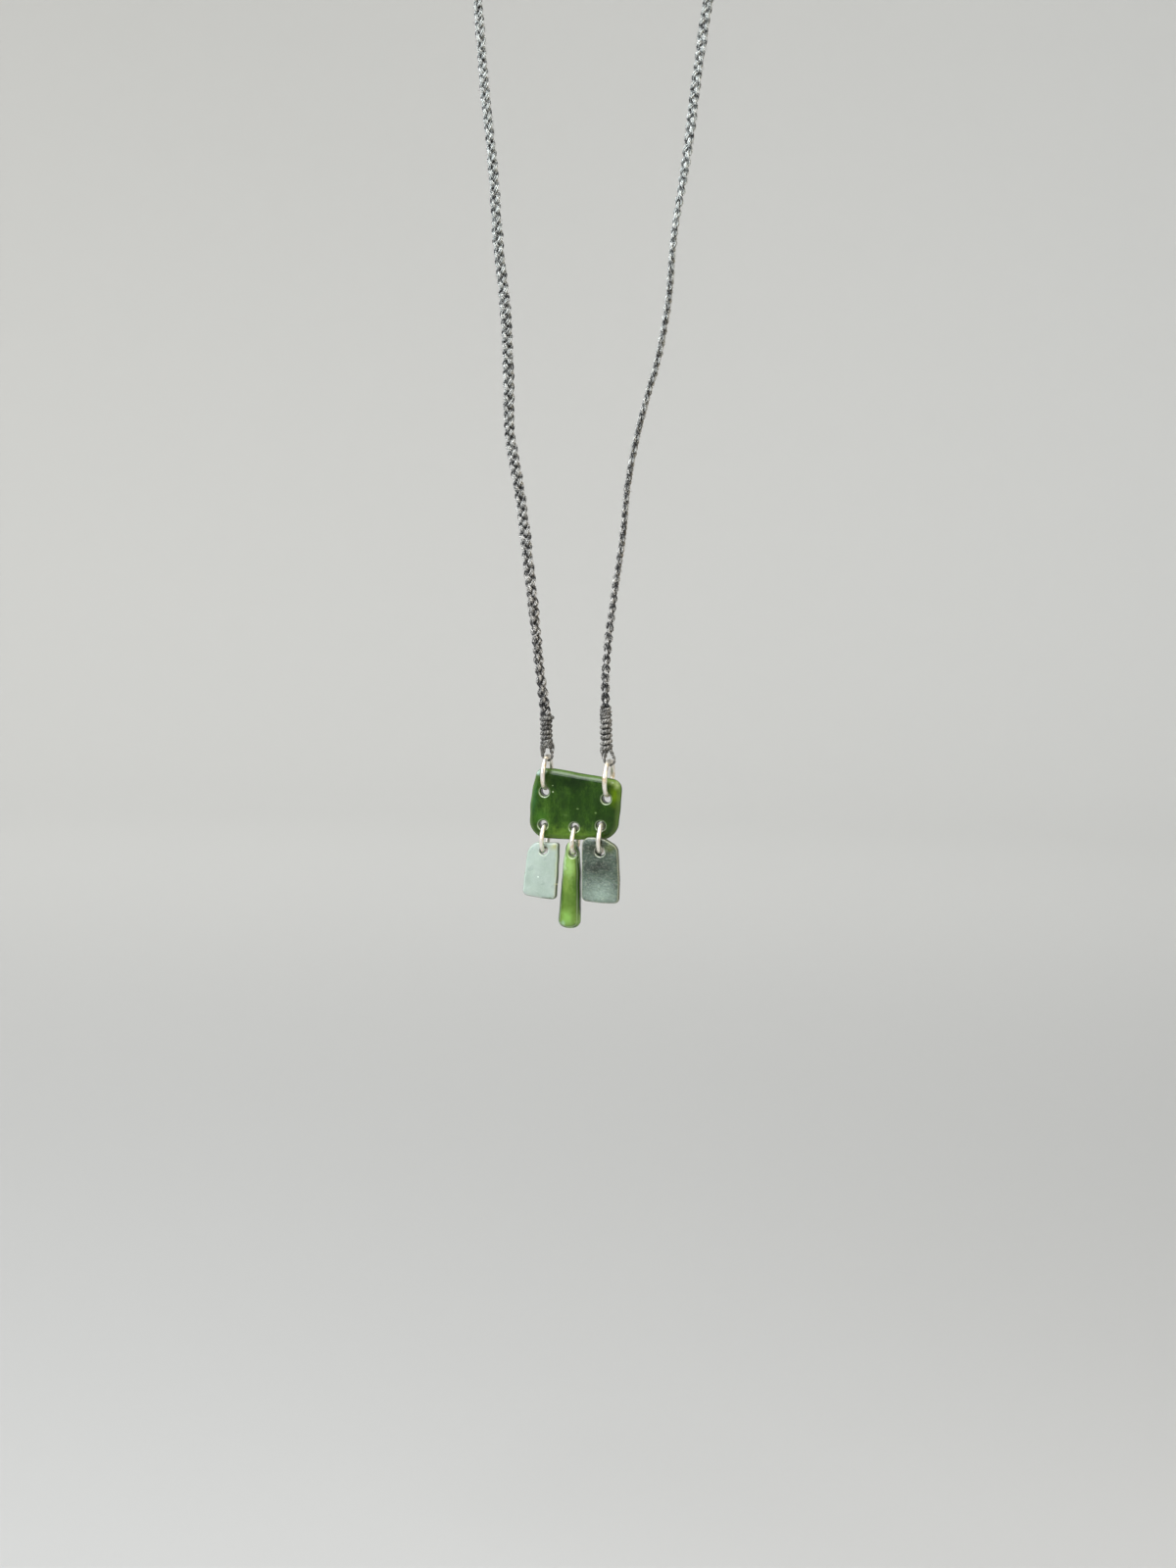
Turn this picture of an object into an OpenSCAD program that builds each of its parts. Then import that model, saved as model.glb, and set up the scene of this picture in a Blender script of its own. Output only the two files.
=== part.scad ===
// A jade pendant on a braided neck cord: a drilled plaque on two jump rings that hang in thread
// eyes, with three small jade drops on jump rings below it. Millimetres, +Z up, front -Y.
// The origin is the inner side of the cord at the top of its loop, where it lies on a neck or peg.

/* [Plaque] */
// Thickness of the plaque
plaque_t = 2.6; // [2.4:0.1:2.7]
// Radius of the plaque's rounded edges
plaque_edge = 1.1; // [0.9:0.1:1.15]
// Diameter of the plaque's drilled holes
plaque_bore = 1.9; // [1.88:0.02:2]
// Width of the cone that eases the mouth of each hole
ease_width = 0.28; // [0.1:0.02:0.3]

/* [Drops] */
// Thickness of the left drop
left_t = 2.4; // [2:0.1:2.6]
// Thickness of the middle bar
bar_t = 2.9; // [2.4:0.1:3]
// Thickness of the right drop
right_t = 1.8; // [1.6:0.1:1.8]
// Diameter of the hole in the left drop
left_bore = 1.8; // [1.78:0.02:2]
// Diameter of the hole in the middle bar
bar_bore = 1.7; // [1.66:0.02:1.8]
// Diameter of the hole in the right drop
right_bore = 1.96; // [1.94:0.02:2.04]

/* [Rings] */
// Wire of the two upper jump rings
upper_wire = 1.06; // [0.9:0.02:1.1]
// Outer diameter of the upper left jump ring
upper_left_d = 8.0; // [7.8:0.1:8.2]
// Outer diameter of the upper right jump ring
upper_right_d = 8.5; // [8.2:0.1:8.6]
// Wire of the three lower jump rings
lower_wire = 1.0; // [0.9:0.02:1]
// Outer diameter of the lower left and middle jump rings
lower_d = 6.7; // [6.6:0.05:6.8]
// Outer diameter of the lower right jump ring
lower_right_d = 7.2; // [7.1:0.05:7.3]
// Width of the sawn cut where a jump ring's ends meet
ring_cut = 0.12; // [0.08:0.02:0.2]
// Space between a ring and what it carries
seat_gap = 0.05; // [0.04:0.01:0.06]

/* [Cord] */
// Width of the flat braid
cord_w = 2.5; // [2.2:0.1:2.6]
// Thickness of the flat braid
cord_t = 1.7; // [1.5:0.1:1.9]
// Height from the pendant's eyes to the top of the loop
eye_drop = 248; // [247.8:0.1:248.4]
// Diameter over the thread whippings
whip_d = 2.9; // [2.7:0.1:3]
// Length of the left whipping
whip_left = 6.2; // [5.8:0.1:6.4]
// Length of the right whipping
whip_right = 6.9; // [6.5:0.1:7]
// Thickness of the thread in the eyes
thread_d = 0.6; // [0.5:0.05:0.7]
// Distance of the left eye from the middle of the pendant
eye_left_x = 6.85; // [6.8:0.05:6.95]
// Distance of the right eye from the middle of the pendant
eye_right_x = 7.2; // [7.1:0.05:7.3]

/* [Hidden] */
$fn = 48;

// Colours of the stones, the metal and the threads
plaque_green = "#3d6424";
pale_green = "#b9c8b4";
apple_green = "#7fae5a";
grey_green = "#7d8f7f";
pale_gold = "#d8cdb0";
cord_grey = "#8f9091";
thread_grey = "#a8a49c";

// The line through both eyes falls to the right by this angle
eye_line_tilt = 1.7;
// The pendant's own set about that line, which puts its weight straight below it
pendant_set = 1.15;
// A boolean's tool runs this far past the solid that it cuts
past = 1;
// Degrees of arc between two points of a stone's outline, and layers in a rounded edge
arc_step = 15;
edge_steps = 3;

// Columns of an outline table: across, up, and the radius that rounds the corner
X = 0;
Z = 1;
R = 2;

// Plaque, from the middle of the line between the eyes, counterclockwise from its top left corner
plaque_rows = [
    [-8.9, -1.75, 1.9],
    [-9.9, -6.5, 14],
    [-10.25, -10, 14],
    [-10.1, -17.35, 3.8],
    [-1.5, -17.2, 30],
    [9.9, -16.4, 4.4],
    [10.35, -7, 20],
    [10.3, -3.1, 2.2],
    [-5.2, -1.65, 7],
];
// Left drop, from the middle of its hole
left_rows = [
    [-3.6, 1.8, 2.9],
    [-4.1, -4, 20],
    [-4.45, -10.0, 1.3],
    [0, -10.5, 20],
    [3.2, -10.7, 1],
    [3.3, -4, 20],
    [3.2, 2.0, 0.7],
];
// Middle bar, from the middle of its hole
bar_rows = [
    [-1.7, 1.9, 2],
    [-2.3, -2, 14],
    [-3.3, -16.3, 1.6],
    [-0.7, -17.1, 4],
    [1.7, -16.2, 1.5],
    [1.55, -4, 20],
    [1.1, 1.0, 5],
    [-0.25, 3.2, 1],
];
// Right drop, from the middle of its hole
right_rows = [
    [-4.2, 3.05, 1.9],
    [-4.35, -11.5, 1.2],
    [0.5, -11.8, 30],
    [4.1, -11.6, 1.1],
    [4.35, -7, 20],
    [3.95, 1.2, 2.2],
    [0.6, 3.05, 4],
];

// Columns of a drop's table: its hole across, its plaque hole across and up, the lean of its
// outline, how far its top tips forward, how far its ring and its own hole sit forward, and the
// outer diameter of its ring
HOLE_X = 0;
PLAQUE_X = 1;
PLAQUE_Z = 2;
LEAN = 3;
TIP = 4;
RING_FORWARD = 5;
DROP_FORWARD = 6;
RING_D = 7;
left_hang = [-6.4, -6.85, -14.2, -1.7, -9, 0, 0.2, lower_d];
bar_hang = [0.25, 0.3, -14.2, -1.7, 0, 0, 0, lower_d];
right_hang = [6.7, 6.25, -13.4, -1.7, 5, 0.74, 1.78, lower_right_d];

// Angle of each ring's cut, from the ring's lowest point towards the front
upper_left_cut = 150;
upper_right_cut = 42;
lower_cut = 200;

// The braid's route in the loop's plane, from the left whipping over the top to the right one
route = [
    [-7.4, -238], [-9, -228], [-10.7, -215], [-12.5, -202], [-14.5, -189], [-17, -176],
    [-17.5, -164], [-18.5, -150], [-20.5, -135], [-22, -119], [-24, -104], [-26, -85],
    [-28, -67], [-30.5, -48], [-32.3, -31.5], [-28, -15.4], [-16.2, -3.5], [0, 1.15],
    [16.2, -3.5], [28, -15.4], [32.3, -31.5], [30, -48], [27.5, -66], [24.5, -86],
    [22.5, -102], [21, -117], [18.7, -133], [17.8, -147], [16, -159], [13.5, -168.5],
    [11.5, -177], [9.8, -187], [9, -198], [7.5, -210], [6.5, -219], [5.9, -228], [6.2, -238],
];
// Lean of the two whippings from upright
left_whip_lean = -3;
right_whip_lean = -2.5;
// Points of the smooth curve between two points of the route
route_steps = 2;
braid_sides = 8;

whip_wraps = 6;

// The eased rim of a hole on the side that rests in a ring, from the hole's middle: depth, height
function rim(t, bore) = [
    for (side = [-1, 1], eased = [0, ease_width])
        [side * (t / 2 - ease_width + eased), bore / 2 + eased],
];
function turned(p, a) = [p[0] * cos(a) - p[1] * sin(a), p[0] * sin(a) + p[1] * cos(a)];

// Height of a hole's middle from the middle of the ring that it rests in, for a hole that sits
// forward of the ring's middle and whose top tips forward
function seat(d, wire, t, bore, forward = 0, tip = 0) =
    let (inner = d / 2 - wire - seat_gap)
    max([for (p = rim(t, bore))
        let (q = turned(p, tip), y = q[0] - forward)
        -sqrt(inner * inner - y * y) - q[1]]);

function upper_centre(d) = thread_d / 2 + seat_gap + upper_wire - d / 2;
function upper_hole_z(d) = upper_centre(d) + seat(d, upper_wire, plaque_t, plaque_bore);
function lower_centre(hang) =
    hang[PLAQUE_Z] + seat(hang[RING_D], lower_wire, plaque_t, plaque_bore, -hang[RING_FORWARD]);
function drop_hole_z(hang, t, bore) =
    lower_centre(hang)
    + seat(hang[RING_D], lower_wire, t, bore, hang[DROP_FORWARD] - hang[RING_FORWARD], hang[TIP]);

function unit(v) = v / norm(v);
function at(row) = [row[X], row[Z]];

// The arc that rounds corner i of an outline: each entry is a point and its outward direction
function corner_arc(rows, i) =
    let (
        n = len(rows),
        corner = at(rows[i]),
        back = unit(at(rows[(i + n - 1) % n]) - corner),
        ahead = unit(at(rows[(i + 1) % n]) - corner),
        half = acos(back * ahead) / 2,
        radius = rows[i][R],
        centre = corner + unit(back + ahead) * radius / sin(half),
        first = corner + back * radius / tan(half) - centre,
        start = atan2(first[1], first[0]),
        turn = 180 - 2 * half,
        steps = max(1, ceil(turn / arc_step))
    )
    [for (k = [0 : steps])
        let (a = start + turn * k / steps, out = [cos(a), sin(a)])
        [centre + out * radius, out]];

function outline(rows) = [for (i = [0 : len(rows) - 1]) each corner_arc(rows, i)];

// Layers of a rounded edge from the front face to the back: inset of the outline, and depth
function edge_layers(t, inset, depth, steps) = [
    for (k = [0 : steps])
        let (a = 90 * k / steps)
        [inset * (1 - sin(a)), -t / 2 + depth * (1 - cos(a))],
    for (k = [steps : -1 : 0])
        let (a = 90 * k / steps)
        [inset * (1 - sin(a)), t / 2 - depth * (1 - cos(a))],
];

// A stone plate with rounded edges, its outline in the XZ plane
module plate(rows, t, inset, depth, steps = edge_steps) {
    rim = outline(rows);
    n = len(rim);
    layers = edge_layers(t, inset, depth, steps);
    last = len(layers) - 1;
    points = [for (layer = layers, p = rim)
        let (q = p[0] - p[1] * layer[0])
        [q[0], layer[1], q[1]]];
    walls = [for (j = [0 : last - 1], i = [0 : n - 1])
        let (a = j * n + i, b = j * n + (i + 1) % n)
        each [[a, b, b + n], [a, b + n, a + n]]];
    front = [for (i = [n - 1 : -1 : 0]) i];
    back = [for (i = [0 : n - 1]) last * n + i];
    polyhedron(points, concat([front, back], walls));
}

// A drilled hole through a plate of thickness t, with both mouths eased
module drilling(x, z, bore, t) {
    translate([x, 0, z]) rotate([90, 0, 0]) {
        cylinder(h = t + 2 * past, d = bore, center = true);
        for (side = [0, 180])
            rotate([side, 0, 0]) translate([0, 0, t / 2 - ease_width])
                cylinder(h = 2 * ease_width, r1 = bore / 2, r2 = bore / 2 + 2 * ease_width);
    }
}

// A jump ring in the YZ plane, its ends parted by the cut, which is cut_at degrees from its
// lowest point towards the front
module jump_ring(d, wire, cut_at) {
    mean = (d - wire) / 2;
    gap = ring_cut / mean * 180 / PI;
    rotate([-cut_at + gap / 2, 0, 0]) rotate([0, 90, 0])
        rotate_extrude(angle = 360 - gap) translate([mean, 0]) circle(d = wire);
}

// Where the pendant hangs: the middle of the line through both eyes, with X along that line
module hung() {
    translate([0, 0, -eye_drop]) rotate([0, eye_line_tilt, 0]) children();
}

// The pendant's stones and rings, set so that their weight is under the eyes
module pendant_frame() {
    hung() rotate([pendant_set, 0, 0]) children();
}

module upper_ring(x, d, cut_at) {
    color(pale_gold) pendant_frame()
        translate([x, 0, upper_centre(d)]) jump_ring(d, upper_wire, cut_at);
}
module ring_upper_left() { upper_ring(-eye_left_x, upper_left_d, upper_left_cut); }
module ring_upper_right() { upper_ring(eye_right_x, upper_right_d, upper_right_cut); }

module lower_ring(hang) {
    color(pale_gold) pendant_frame()
        translate([(hang[HOLE_X] + hang[PLAQUE_X]) / 2, -hang[RING_FORWARD], lower_centre(hang)])
            jump_ring(hang[RING_D], lower_wire, lower_cut);
}
module ring_lower_left() { lower_ring(left_hang); }
module ring_lower_middle() { lower_ring(bar_hang); }
module ring_lower_right() { lower_ring(right_hang); }

module plaque() {
    color(plaque_green) pendant_frame() difference() {
        plate(plaque_rows, plaque_t, plaque_edge, plaque_edge);
        drilling(-eye_left_x, upper_hole_z(upper_left_d), plaque_bore, plaque_t);
        drilling(eye_right_x, upper_hole_z(upper_right_d), plaque_bore, plaque_t);
        for (hang = [left_hang, bar_hang, right_hang])
            drilling(hang[PLAQUE_X], hang[PLAQUE_Z], plaque_bore, plaque_t);
    }
}

// Puts a drop's own hole on its jump ring, leaning and tipped as it hangs
module on_ring(hang, t, bore) {
    pendant_frame() translate([hang[HOLE_X], -hang[DROP_FORWARD], drop_hole_z(hang, t, bore)])
        rotate([hang[TIP], hang[LEAN], 0]) children();
}

module drop_left() {
    color(pale_green) on_ring(left_hang, left_t, left_bore) difference() {
        plate(left_rows, left_t, 0.6, 0.7);
        drilling(0, 0, left_bore, left_t);
    }
}

// The bar's front and back are narrower than its body: its long edges are broad bevels
module drop_middle() {
    color(apple_green) on_ring(bar_hang, bar_t, bar_bore) difference() {
        plate(bar_rows, bar_t, 0.75, 0.9, 2);
        drilling(0, 0, bar_bore, bar_t);
    }
}

module drop_right() {
    color(grey_green) on_ring(right_hang, right_t, right_bore) difference() {
        plate(right_rows, right_t, 0.75, 0.75);
        drilling(0, 0, right_bore, right_t);
    }
}

// Catmull-Rom point at parameter u between the second and third of four points
function spline(a, b, c, d, u) =
    b + u * ((c - a) / 2 + u * ((2 * a - 5 * b + 4 * c - d) / 2 + u * (3 * b - 3 * c + d - a) / 2));

// The way that each whipping's axis points, from its foot up to the braid
function axis_up(lean) = [sin(lean), cos(lean)];

// Past its two ends the route runs on down the whippings
function route_point(i) =
    i < 0 ? route[0] - axis_up(left_whip_lean) * whip_left
    : i >= len(route) ? route[len(route) - 1] - axis_up(right_whip_lean) * whip_right
    : route[i];

route_curve = [
    for (i = [0 : len(route) - 2], k = [0 : route_steps - 1])
        spline(route_point(i - 1), route_point(i), route_point(i + 1), route_point(i + 2),
            k / route_steps),
    route[len(route) - 1],
];

// Direction of the curve at point i; at its two ends it is the whipping's own axis
function along(i) =
    i == 0 ? axis_up(left_whip_lean)
    : i == len(route_curve) - 1 ? -axis_up(right_whip_lean)
    : unit(route_curve[i + 1] - route_curve[i - 1]);

module neck_cord() {
    count = len(route_curve);
    points = [for (i = [0 : count - 1], k = [0 : braid_sides - 1])
        let (
            a = 360 * (k + 0.5) / braid_sides,
            side = [along(i)[1], -along(i)[0]] * cord_w / 2 * cos(a),
            p = route_curve[i] + side
        )
        [p[0], cord_t / 2 * sin(a), p[1]]];
    walls = [for (i = [0 : count - 2], k = [0 : braid_sides - 1])
        let (a = i * braid_sides + k, b = i * braid_sides + (k + 1) % braid_sides)
        each [[a, b + braid_sides, b], [a, a + braid_sides, b + braid_sides]]];
    start = [for (k = [0 : braid_sides - 1]) k];
    end = [for (k = [braid_sides - 1 : -1 : 0]) (count - 1) * braid_sides + k];
    color(cord_grey) polyhedron(points, concat([start, end], walls));
}

// Puts +Z on a whipping's axis, from its foot; tip is the end of the braid's route
module whipping_frame(tip, lean, length) {
    foot = tip - axis_up(lean) * length;
    translate([foot[0], 0, foot[1]]) rotate([0, lean, 0]) children();
}
module left_whip_frame() { whipping_frame(route[0], left_whip_lean, whip_left) children(); }
module right_whip_frame() {
    whipping_frame(route[len(route) - 1], right_whip_lean, whip_right) children();
}

// Six turns of thread wound tight over the folded end of the braid
module wraps(length) {
    turn_d = 1.08 * length / whip_wraps;
    turn_x = whip_d / 2 - turn_d / 2;
    rotate_extrude() {
        square([turn_x + turn_d * 0.1, length]);
        for (i = [0 : whip_wraps - 1])
            translate([turn_x, turn_d / 2 + i * (length - turn_d) / (whip_wraps - 1)])
                circle(d = turn_d);
    }
}
module whipping_left() { color(thread_grey) left_whip_frame() wraps(whip_left); }
module whipping_right() { color(thread_grey) right_whip_frame() wraps(whip_right); }

// Each leg of an eye starts this far inside the round foot, and is thinner by this much
leg_start = 0.12;
leg_slack = 0.03;

// A loop of thread in the plane of the two eyes: a round foot that a jump ring hangs on, and two
// legs that lean together to a point at [apex_x, apex_z]
module thread_loop(x, foot_r, apex_x, apex_z) {
    centre = [x, foot_r];
    reach = [apex_x, apex_z] - centre;
    half = asin(foot_r / norm(reach));
    lean = atan2(reach[0], reach[1]);
    leg = sqrt(reach * reach - foot_r * foot_r);
    translate([centre[0], 0, centre[1]]) rotate([0, lean, 0]) {
        rotate([90, 0, 0]) rotate([0, 0, 180 - half])
            rotate_extrude(angle = 180 + 2 * half) translate([foot_r, 0]) circle(d = thread_d);
        for (side = [-1, 1])
            translate([side * foot_r * cos(half), 0, foot_r * sin(half)])
                rotate([0, -side * half, 0]) translate([0, 0, -leg_start])
                    cylinder(h = leg + leg_start, d = thread_d - leg_slack);
    }
}

eye_foot_left = 1.05;
eye_foot_right = 1.15;

module eye_left() {
    color(thread_grey) difference() {
        hung() thread_loop(-eye_left_x, eye_foot_left, -7.15, 5.4);
        left_whip_frame() cylinder(h = 3 * past, d = 3 * whip_d);
    }
}
module eye_right() {
    color(thread_grey) difference() {
        hung() thread_loop(eye_right_x, eye_foot_right, 6.85, 4.3);
        right_whip_frame() cylinder(h = 3 * past, d = 3 * whip_d);
    }
}

neck_cord();
whipping_left();
whipping_right();
eye_left();
eye_right();
ring_upper_left();
ring_upper_right();
plaque();
ring_lower_left();
ring_lower_middle();
ring_lower_right();
drop_left();
drop_middle();
drop_right();
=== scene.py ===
"""Looks of a jade pendant on a braided neck cord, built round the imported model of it.

Every piece is in metres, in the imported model's frame: +X to the right, +Z up, the stones' fronts
at -Y, and the origin under the cord at the top of its loop. Shapes are worked out in millimetres
as whole numpy arrays, and turned to metres where a mesh is made.
"""

import logging
import math
from dataclasses import dataclass, field
from enum import Enum

import bpy
import numpy as np
from mathutils import Matrix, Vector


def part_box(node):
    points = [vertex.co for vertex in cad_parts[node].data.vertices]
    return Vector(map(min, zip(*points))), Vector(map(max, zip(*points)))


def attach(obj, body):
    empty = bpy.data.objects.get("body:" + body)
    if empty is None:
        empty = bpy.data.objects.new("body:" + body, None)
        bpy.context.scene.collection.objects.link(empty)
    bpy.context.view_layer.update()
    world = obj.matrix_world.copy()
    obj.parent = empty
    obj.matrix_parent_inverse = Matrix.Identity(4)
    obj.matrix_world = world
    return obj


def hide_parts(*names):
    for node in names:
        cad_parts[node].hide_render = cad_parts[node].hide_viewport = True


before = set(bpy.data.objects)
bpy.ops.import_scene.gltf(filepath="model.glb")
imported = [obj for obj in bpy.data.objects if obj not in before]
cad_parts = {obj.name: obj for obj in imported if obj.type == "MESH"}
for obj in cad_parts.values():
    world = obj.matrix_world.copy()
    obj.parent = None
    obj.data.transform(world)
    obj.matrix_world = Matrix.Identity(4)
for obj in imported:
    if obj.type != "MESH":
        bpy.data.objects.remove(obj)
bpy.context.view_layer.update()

log = logging.getLogger("pendant")

MM = 0.001
TAU = 2 * math.pi
Array = np.ndarray
Piece = bpy.types.Object
Material = bpy.types.Material
Tree = bpy.types.NodeTree
Socket = bpy.types.NodeSocket
THROUGH = np.array([0.0, 1.0, 0.0])
UP = np.array([0.0, 0.0, 1.0])

# Where the pendant hangs: the middle of the line through both thread eyes, and that line's fall
EYES = np.array([0.0, 0.0, -248.0])
EYE_LINE_TILT = 1.7
# The pendant's own set about that line
PENDANT_SET = 1.15

# The cord's route in the loop's plane, from the left whipping over the top to the right one
ROUTE = (
    (-7.4, -238), (-9, -228), (-10.7, -215), (-12.5, -202), (-14.5, -189), (-17, -176),
    (-17.5, -164), (-18.5, -150), (-20.5, -135), (-22, -119), (-24, -104), (-26, -85),
    (-28, -67), (-30.5, -48), (-32.3, -31.5), (-28, -15.4), (-16.2, -3.5), (0, 1.15),
    (16.2, -3.5), (28, -15.4), (32.3, -31.5), (30, -48), (27.5, -66), (24.5, -86),
    (22.5, -102), (21, -117), (18.7, -133), (17.8, -147), (16, -159), (13.5, -168.5),
    (11.5, -177), (9.8, -187), (9, -198), (7.5, -210), (6.5, -219), (5.9, -228), (6.2, -238),
)


class Body(Enum):
    """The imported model's bodies."""

    CORD = "cord"
    PENDANT = "pendant"


class Slot(Enum):
    """The names of the material slots."""

    BRAID = "cord_braid"
    THREAD = "binding_thread"
    METAL = "ring_metal"
    PLAQUE = "plaque_jade"
    LEFT = "left_jade"
    BAR = "bar_jade"
    RIGHT = "right_jade"


# Arrays and meshes


def turn_x(degrees: float) -> Array:
    """Rotation matrix about +X by the right-hand rule."""
    c, s = math.cos(math.radians(degrees)), math.sin(math.radians(degrees))
    return np.array([[1, 0, 0], [0, c, -s], [0, s, c]])


def turn_y(degrees: float) -> Array:
    """Rotation matrix about +Y by the right-hand rule."""
    c, s = math.cos(math.radians(degrees)), math.sin(math.radians(degrees))
    return np.array([[c, 0, s], [0, 1, 0], [-s, 0, c]])


def unit(vectors: Array) -> Array:
    """Vectors divided by their own lengths along the last axis."""
    return vectors / np.linalg.norm(vectors, axis=-1, keepdims=True)


def distances(lines: Array) -> Array:
    """How far along its line each point is: the running sum of the steps between points."""
    step = np.linalg.norm(np.diff(lines, axis=-2), axis=-1)
    return np.concatenate([np.zeros_like(step[..., :1]), np.cumsum(step, axis=-1)], axis=-1)


def wound(core: Array, out: Array, up: Array, twist: Array, away: Array | float) -> Array:
    """Plies round a core: core + away * (cos twist * out + sin twist * up)."""
    return core + out * (np.cos(twist) * away)[..., None] + up * (np.sin(twist) * away)[..., None]


def waves(at: Array, length: float, seed: int) -> Array:
    """A smooth random wander between about -1 and 1.

    It is the mean of five sines whose wavelengths lie round the one given, with seeded phases.

    Args:
        at: Where it is wanted, in the unit of length.
        length: The usual wavelength.
        seed: Picks the phases and wavelengths.

    Returns:
        One value for each entry of at.
    """
    draw = np.random.default_rng(seed)
    lengths = length * draw.uniform(0.6, 1.8, 5)
    phases = draw.uniform(0, TAU, 5)
    return np.sin(np.asarray(at)[..., None] * TAU / lengths + phases).sum(-1) * 1.6 / 5


@dataclass
class Surface:
    """A mesh in the making: corners in millimetres, faces, and what rides on them."""

    corners: Array
    faces: list
    uv: Array | None = None
    marks: dict[str, Array] = field(default_factory=dict)

    def placed(self, rotation: Array, origin: Array) -> "Surface":
        """The same surface turned by rotation and then moved by origin."""
        return Surface(self.corners @ rotation.T + origin, self.faces, self.uv, self.marks)

    def made(self, name: str) -> Piece:
        """Puts the surface into a smooth-shaded Blender object.

        Args:
            name: The piece's name.

        Returns:
            The new object, at the origin with its place in its mesh.
        """
        mesh = bpy.data.meshes.new(name)
        mesh.from_pydata((self.corners * MM).tolist(), [], self.faces)
        mesh.validate()
        if self.uv is not None:
            layer = mesh.uv_layers.new(name="along")
            layer.data.foreach_set("uv", self.uv.astype(np.float32).ravel())
        for mark, values in self.marks.items():
            add_mark(mesh, mark, values)
        mesh.polygons.foreach_set("use_smooth", np.ones(len(mesh.polygons), bool))
        piece = bpy.data.objects.new(name, mesh)
        bpy.context.scene.collection.objects.link(piece)
        return piece


def add_mark(mesh: bpy.types.Mesh, name: str, values: Array) -> None:
    """Stores a number or a vector on every vertex of a mesh, for its material to read."""
    kind, key = ("FLOAT_VECTOR", "vector") if values.ndim == 2 else ("FLOAT", "value")
    mesh.attributes.new(name, kind, "POINT").data.foreach_set(key, values.astype("f").ravel())


def joined(surfaces: list[Surface]) -> Surface:
    """Several surfaces as one.

    Args:
        surfaces: Surfaces that all have UVs and the same marks.

    Returns:
        Their corners, faces, UVs and marks in order.
    """
    starts = np.cumsum([0] + [len(s.corners) for s in surfaces])
    faces = [[i + int(n) for i in face] for s, n in zip(surfaces, starts) for face in s.faces]
    marks = {key: np.concatenate([s.marks[key] for s in surfaces]) for key in surfaces[0].marks}
    corners, uv = (np.concatenate([getattr(s, key) for s in surfaces]) for key in ("corners", "uv"))
    return Surface(corners, faces, uv, marks)


def stack_faces(layers: int, sides: int) -> list:
    """Faces between closed rings stacked in order.

    Args:
        layers: How many rings.
        sides: Corners in each ring.

    Returns:
        The quads, and one face over each end.
    """
    index = np.arange(layers * sides).reshape(layers, sides)
    near, far = index[:-1], index[1:]
    quads = np.stack([near, np.roll(near, -1, 1), np.roll(far, -1, 1), far], -1).reshape(-1, 4)
    return quads.tolist() + [index[0, ::-1].tolist(), index[-1].tolist()]


def tubes(
    lines: Array, radius: Array | float, up: Array, sides: int, marks: dict[str, Array]
) -> Surface:
    """Round tubes along many lines at once.

    At each point of a line the ring of corners is radius * (cos a * n + sin a * b), where n is the
    part of up that is square to the line and b is square to both.

    Args:
        lines: Points, in an array of lines by points by 3.
        radius: The tube's radius, or one for each point.
        up: A direction, or one for each point, never along the line.
        sides: Corners in each ring.
        marks: A number for each point of each line, by name.

    Returns:
        The tubes with closed ends; u of the UV runs once round, v is the length in millimetres.
    """
    count, points = lines.shape[:2]
    along = unit(np.gradient(lines, axis=1))
    normal = unit(up - (up * along).sum(-1, keepdims=True) * along)
    side = np.cross(along, normal)
    a = TAU * np.arange(sides) / sides
    ring = normal[:, :, None] * np.cos(a)[:, None] + side[:, :, None] * np.sin(a)[:, None]
    corners = lines[:, :, None] + ring * np.broadcast_to(radius, (count, points))[..., None, None]
    length = distances(lines)

    index = np.arange(count * points * sides).reshape(count, points, sides)
    near, far = index[:, :-1], index[:, 1:]
    quads = np.stack([near, np.roll(near, -1, 2), np.roll(far, -1, 2), far], -1).reshape(-1, 4)
    u = np.broadcast_to(np.arange(sides) / sides, near.shape)
    v0, v1 = (np.broadcast_to(v[..., None], near.shape) for v in (length[:, :-1], length[:, 1:]))
    uv = np.stack([u, v0, u + 1 / sides, v0, u + 1 / sides, v1, u, v1], -1).reshape(-1, 2)
    ends = index[:, 0, ::-1].tolist() + index[:, -1].tolist()
    uv = np.concatenate([uv, np.zeros((len(ends) * sides, 2))])
    spread = {
        name: np.broadcast_to(np.asarray(values)[..., None], index.shape).ravel()
        for name, values in marks.items()
    }
    return Surface(corners.reshape(-1, 3), quads.tolist() + ends, uv, spread)


def lathe(radius: Array, height: Array, sides: int) -> Surface:
    """A closed turned solid about its own Z: corners at (r cos a, r sin a, h).

    Args:
        radius: r at each step of the profile.
        height: h at each step.
        sides: How many angles a there are.

    Returns:
        The solid, with no UVs or marks.
    """
    a = TAU * np.arange(sides) / sides
    r, h = radius[:, None], np.broadcast_to(height[:, None], (len(height), sides))
    corners = np.stack([r * np.cos(a), r * np.sin(a), h], -1).reshape(-1, 3)
    return Surface(corners, stack_faces(len(radius), sides))


# Finishes

# A node that mixes colours; its inputs 0, 6 and 7 are the share, and the colours at 0 and at 1
COLOUR_MIX = {"kind": "Mix", "out": 2, "data_type": "RGBA"}


def linear(colour: str) -> tuple[float, float, float, float]:
    """An sRGB hex colour such as #3d6424 as linear red, green, blue and alpha 1."""
    parts = [int(colour[i : i + 2], 16) / 255 for i in (1, 3, 5)]
    return (*(c / 12.92 if c <= 0.04045 else ((c + 0.055) / 1.055) ** 2.4 for c in parts), 1.0)


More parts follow.
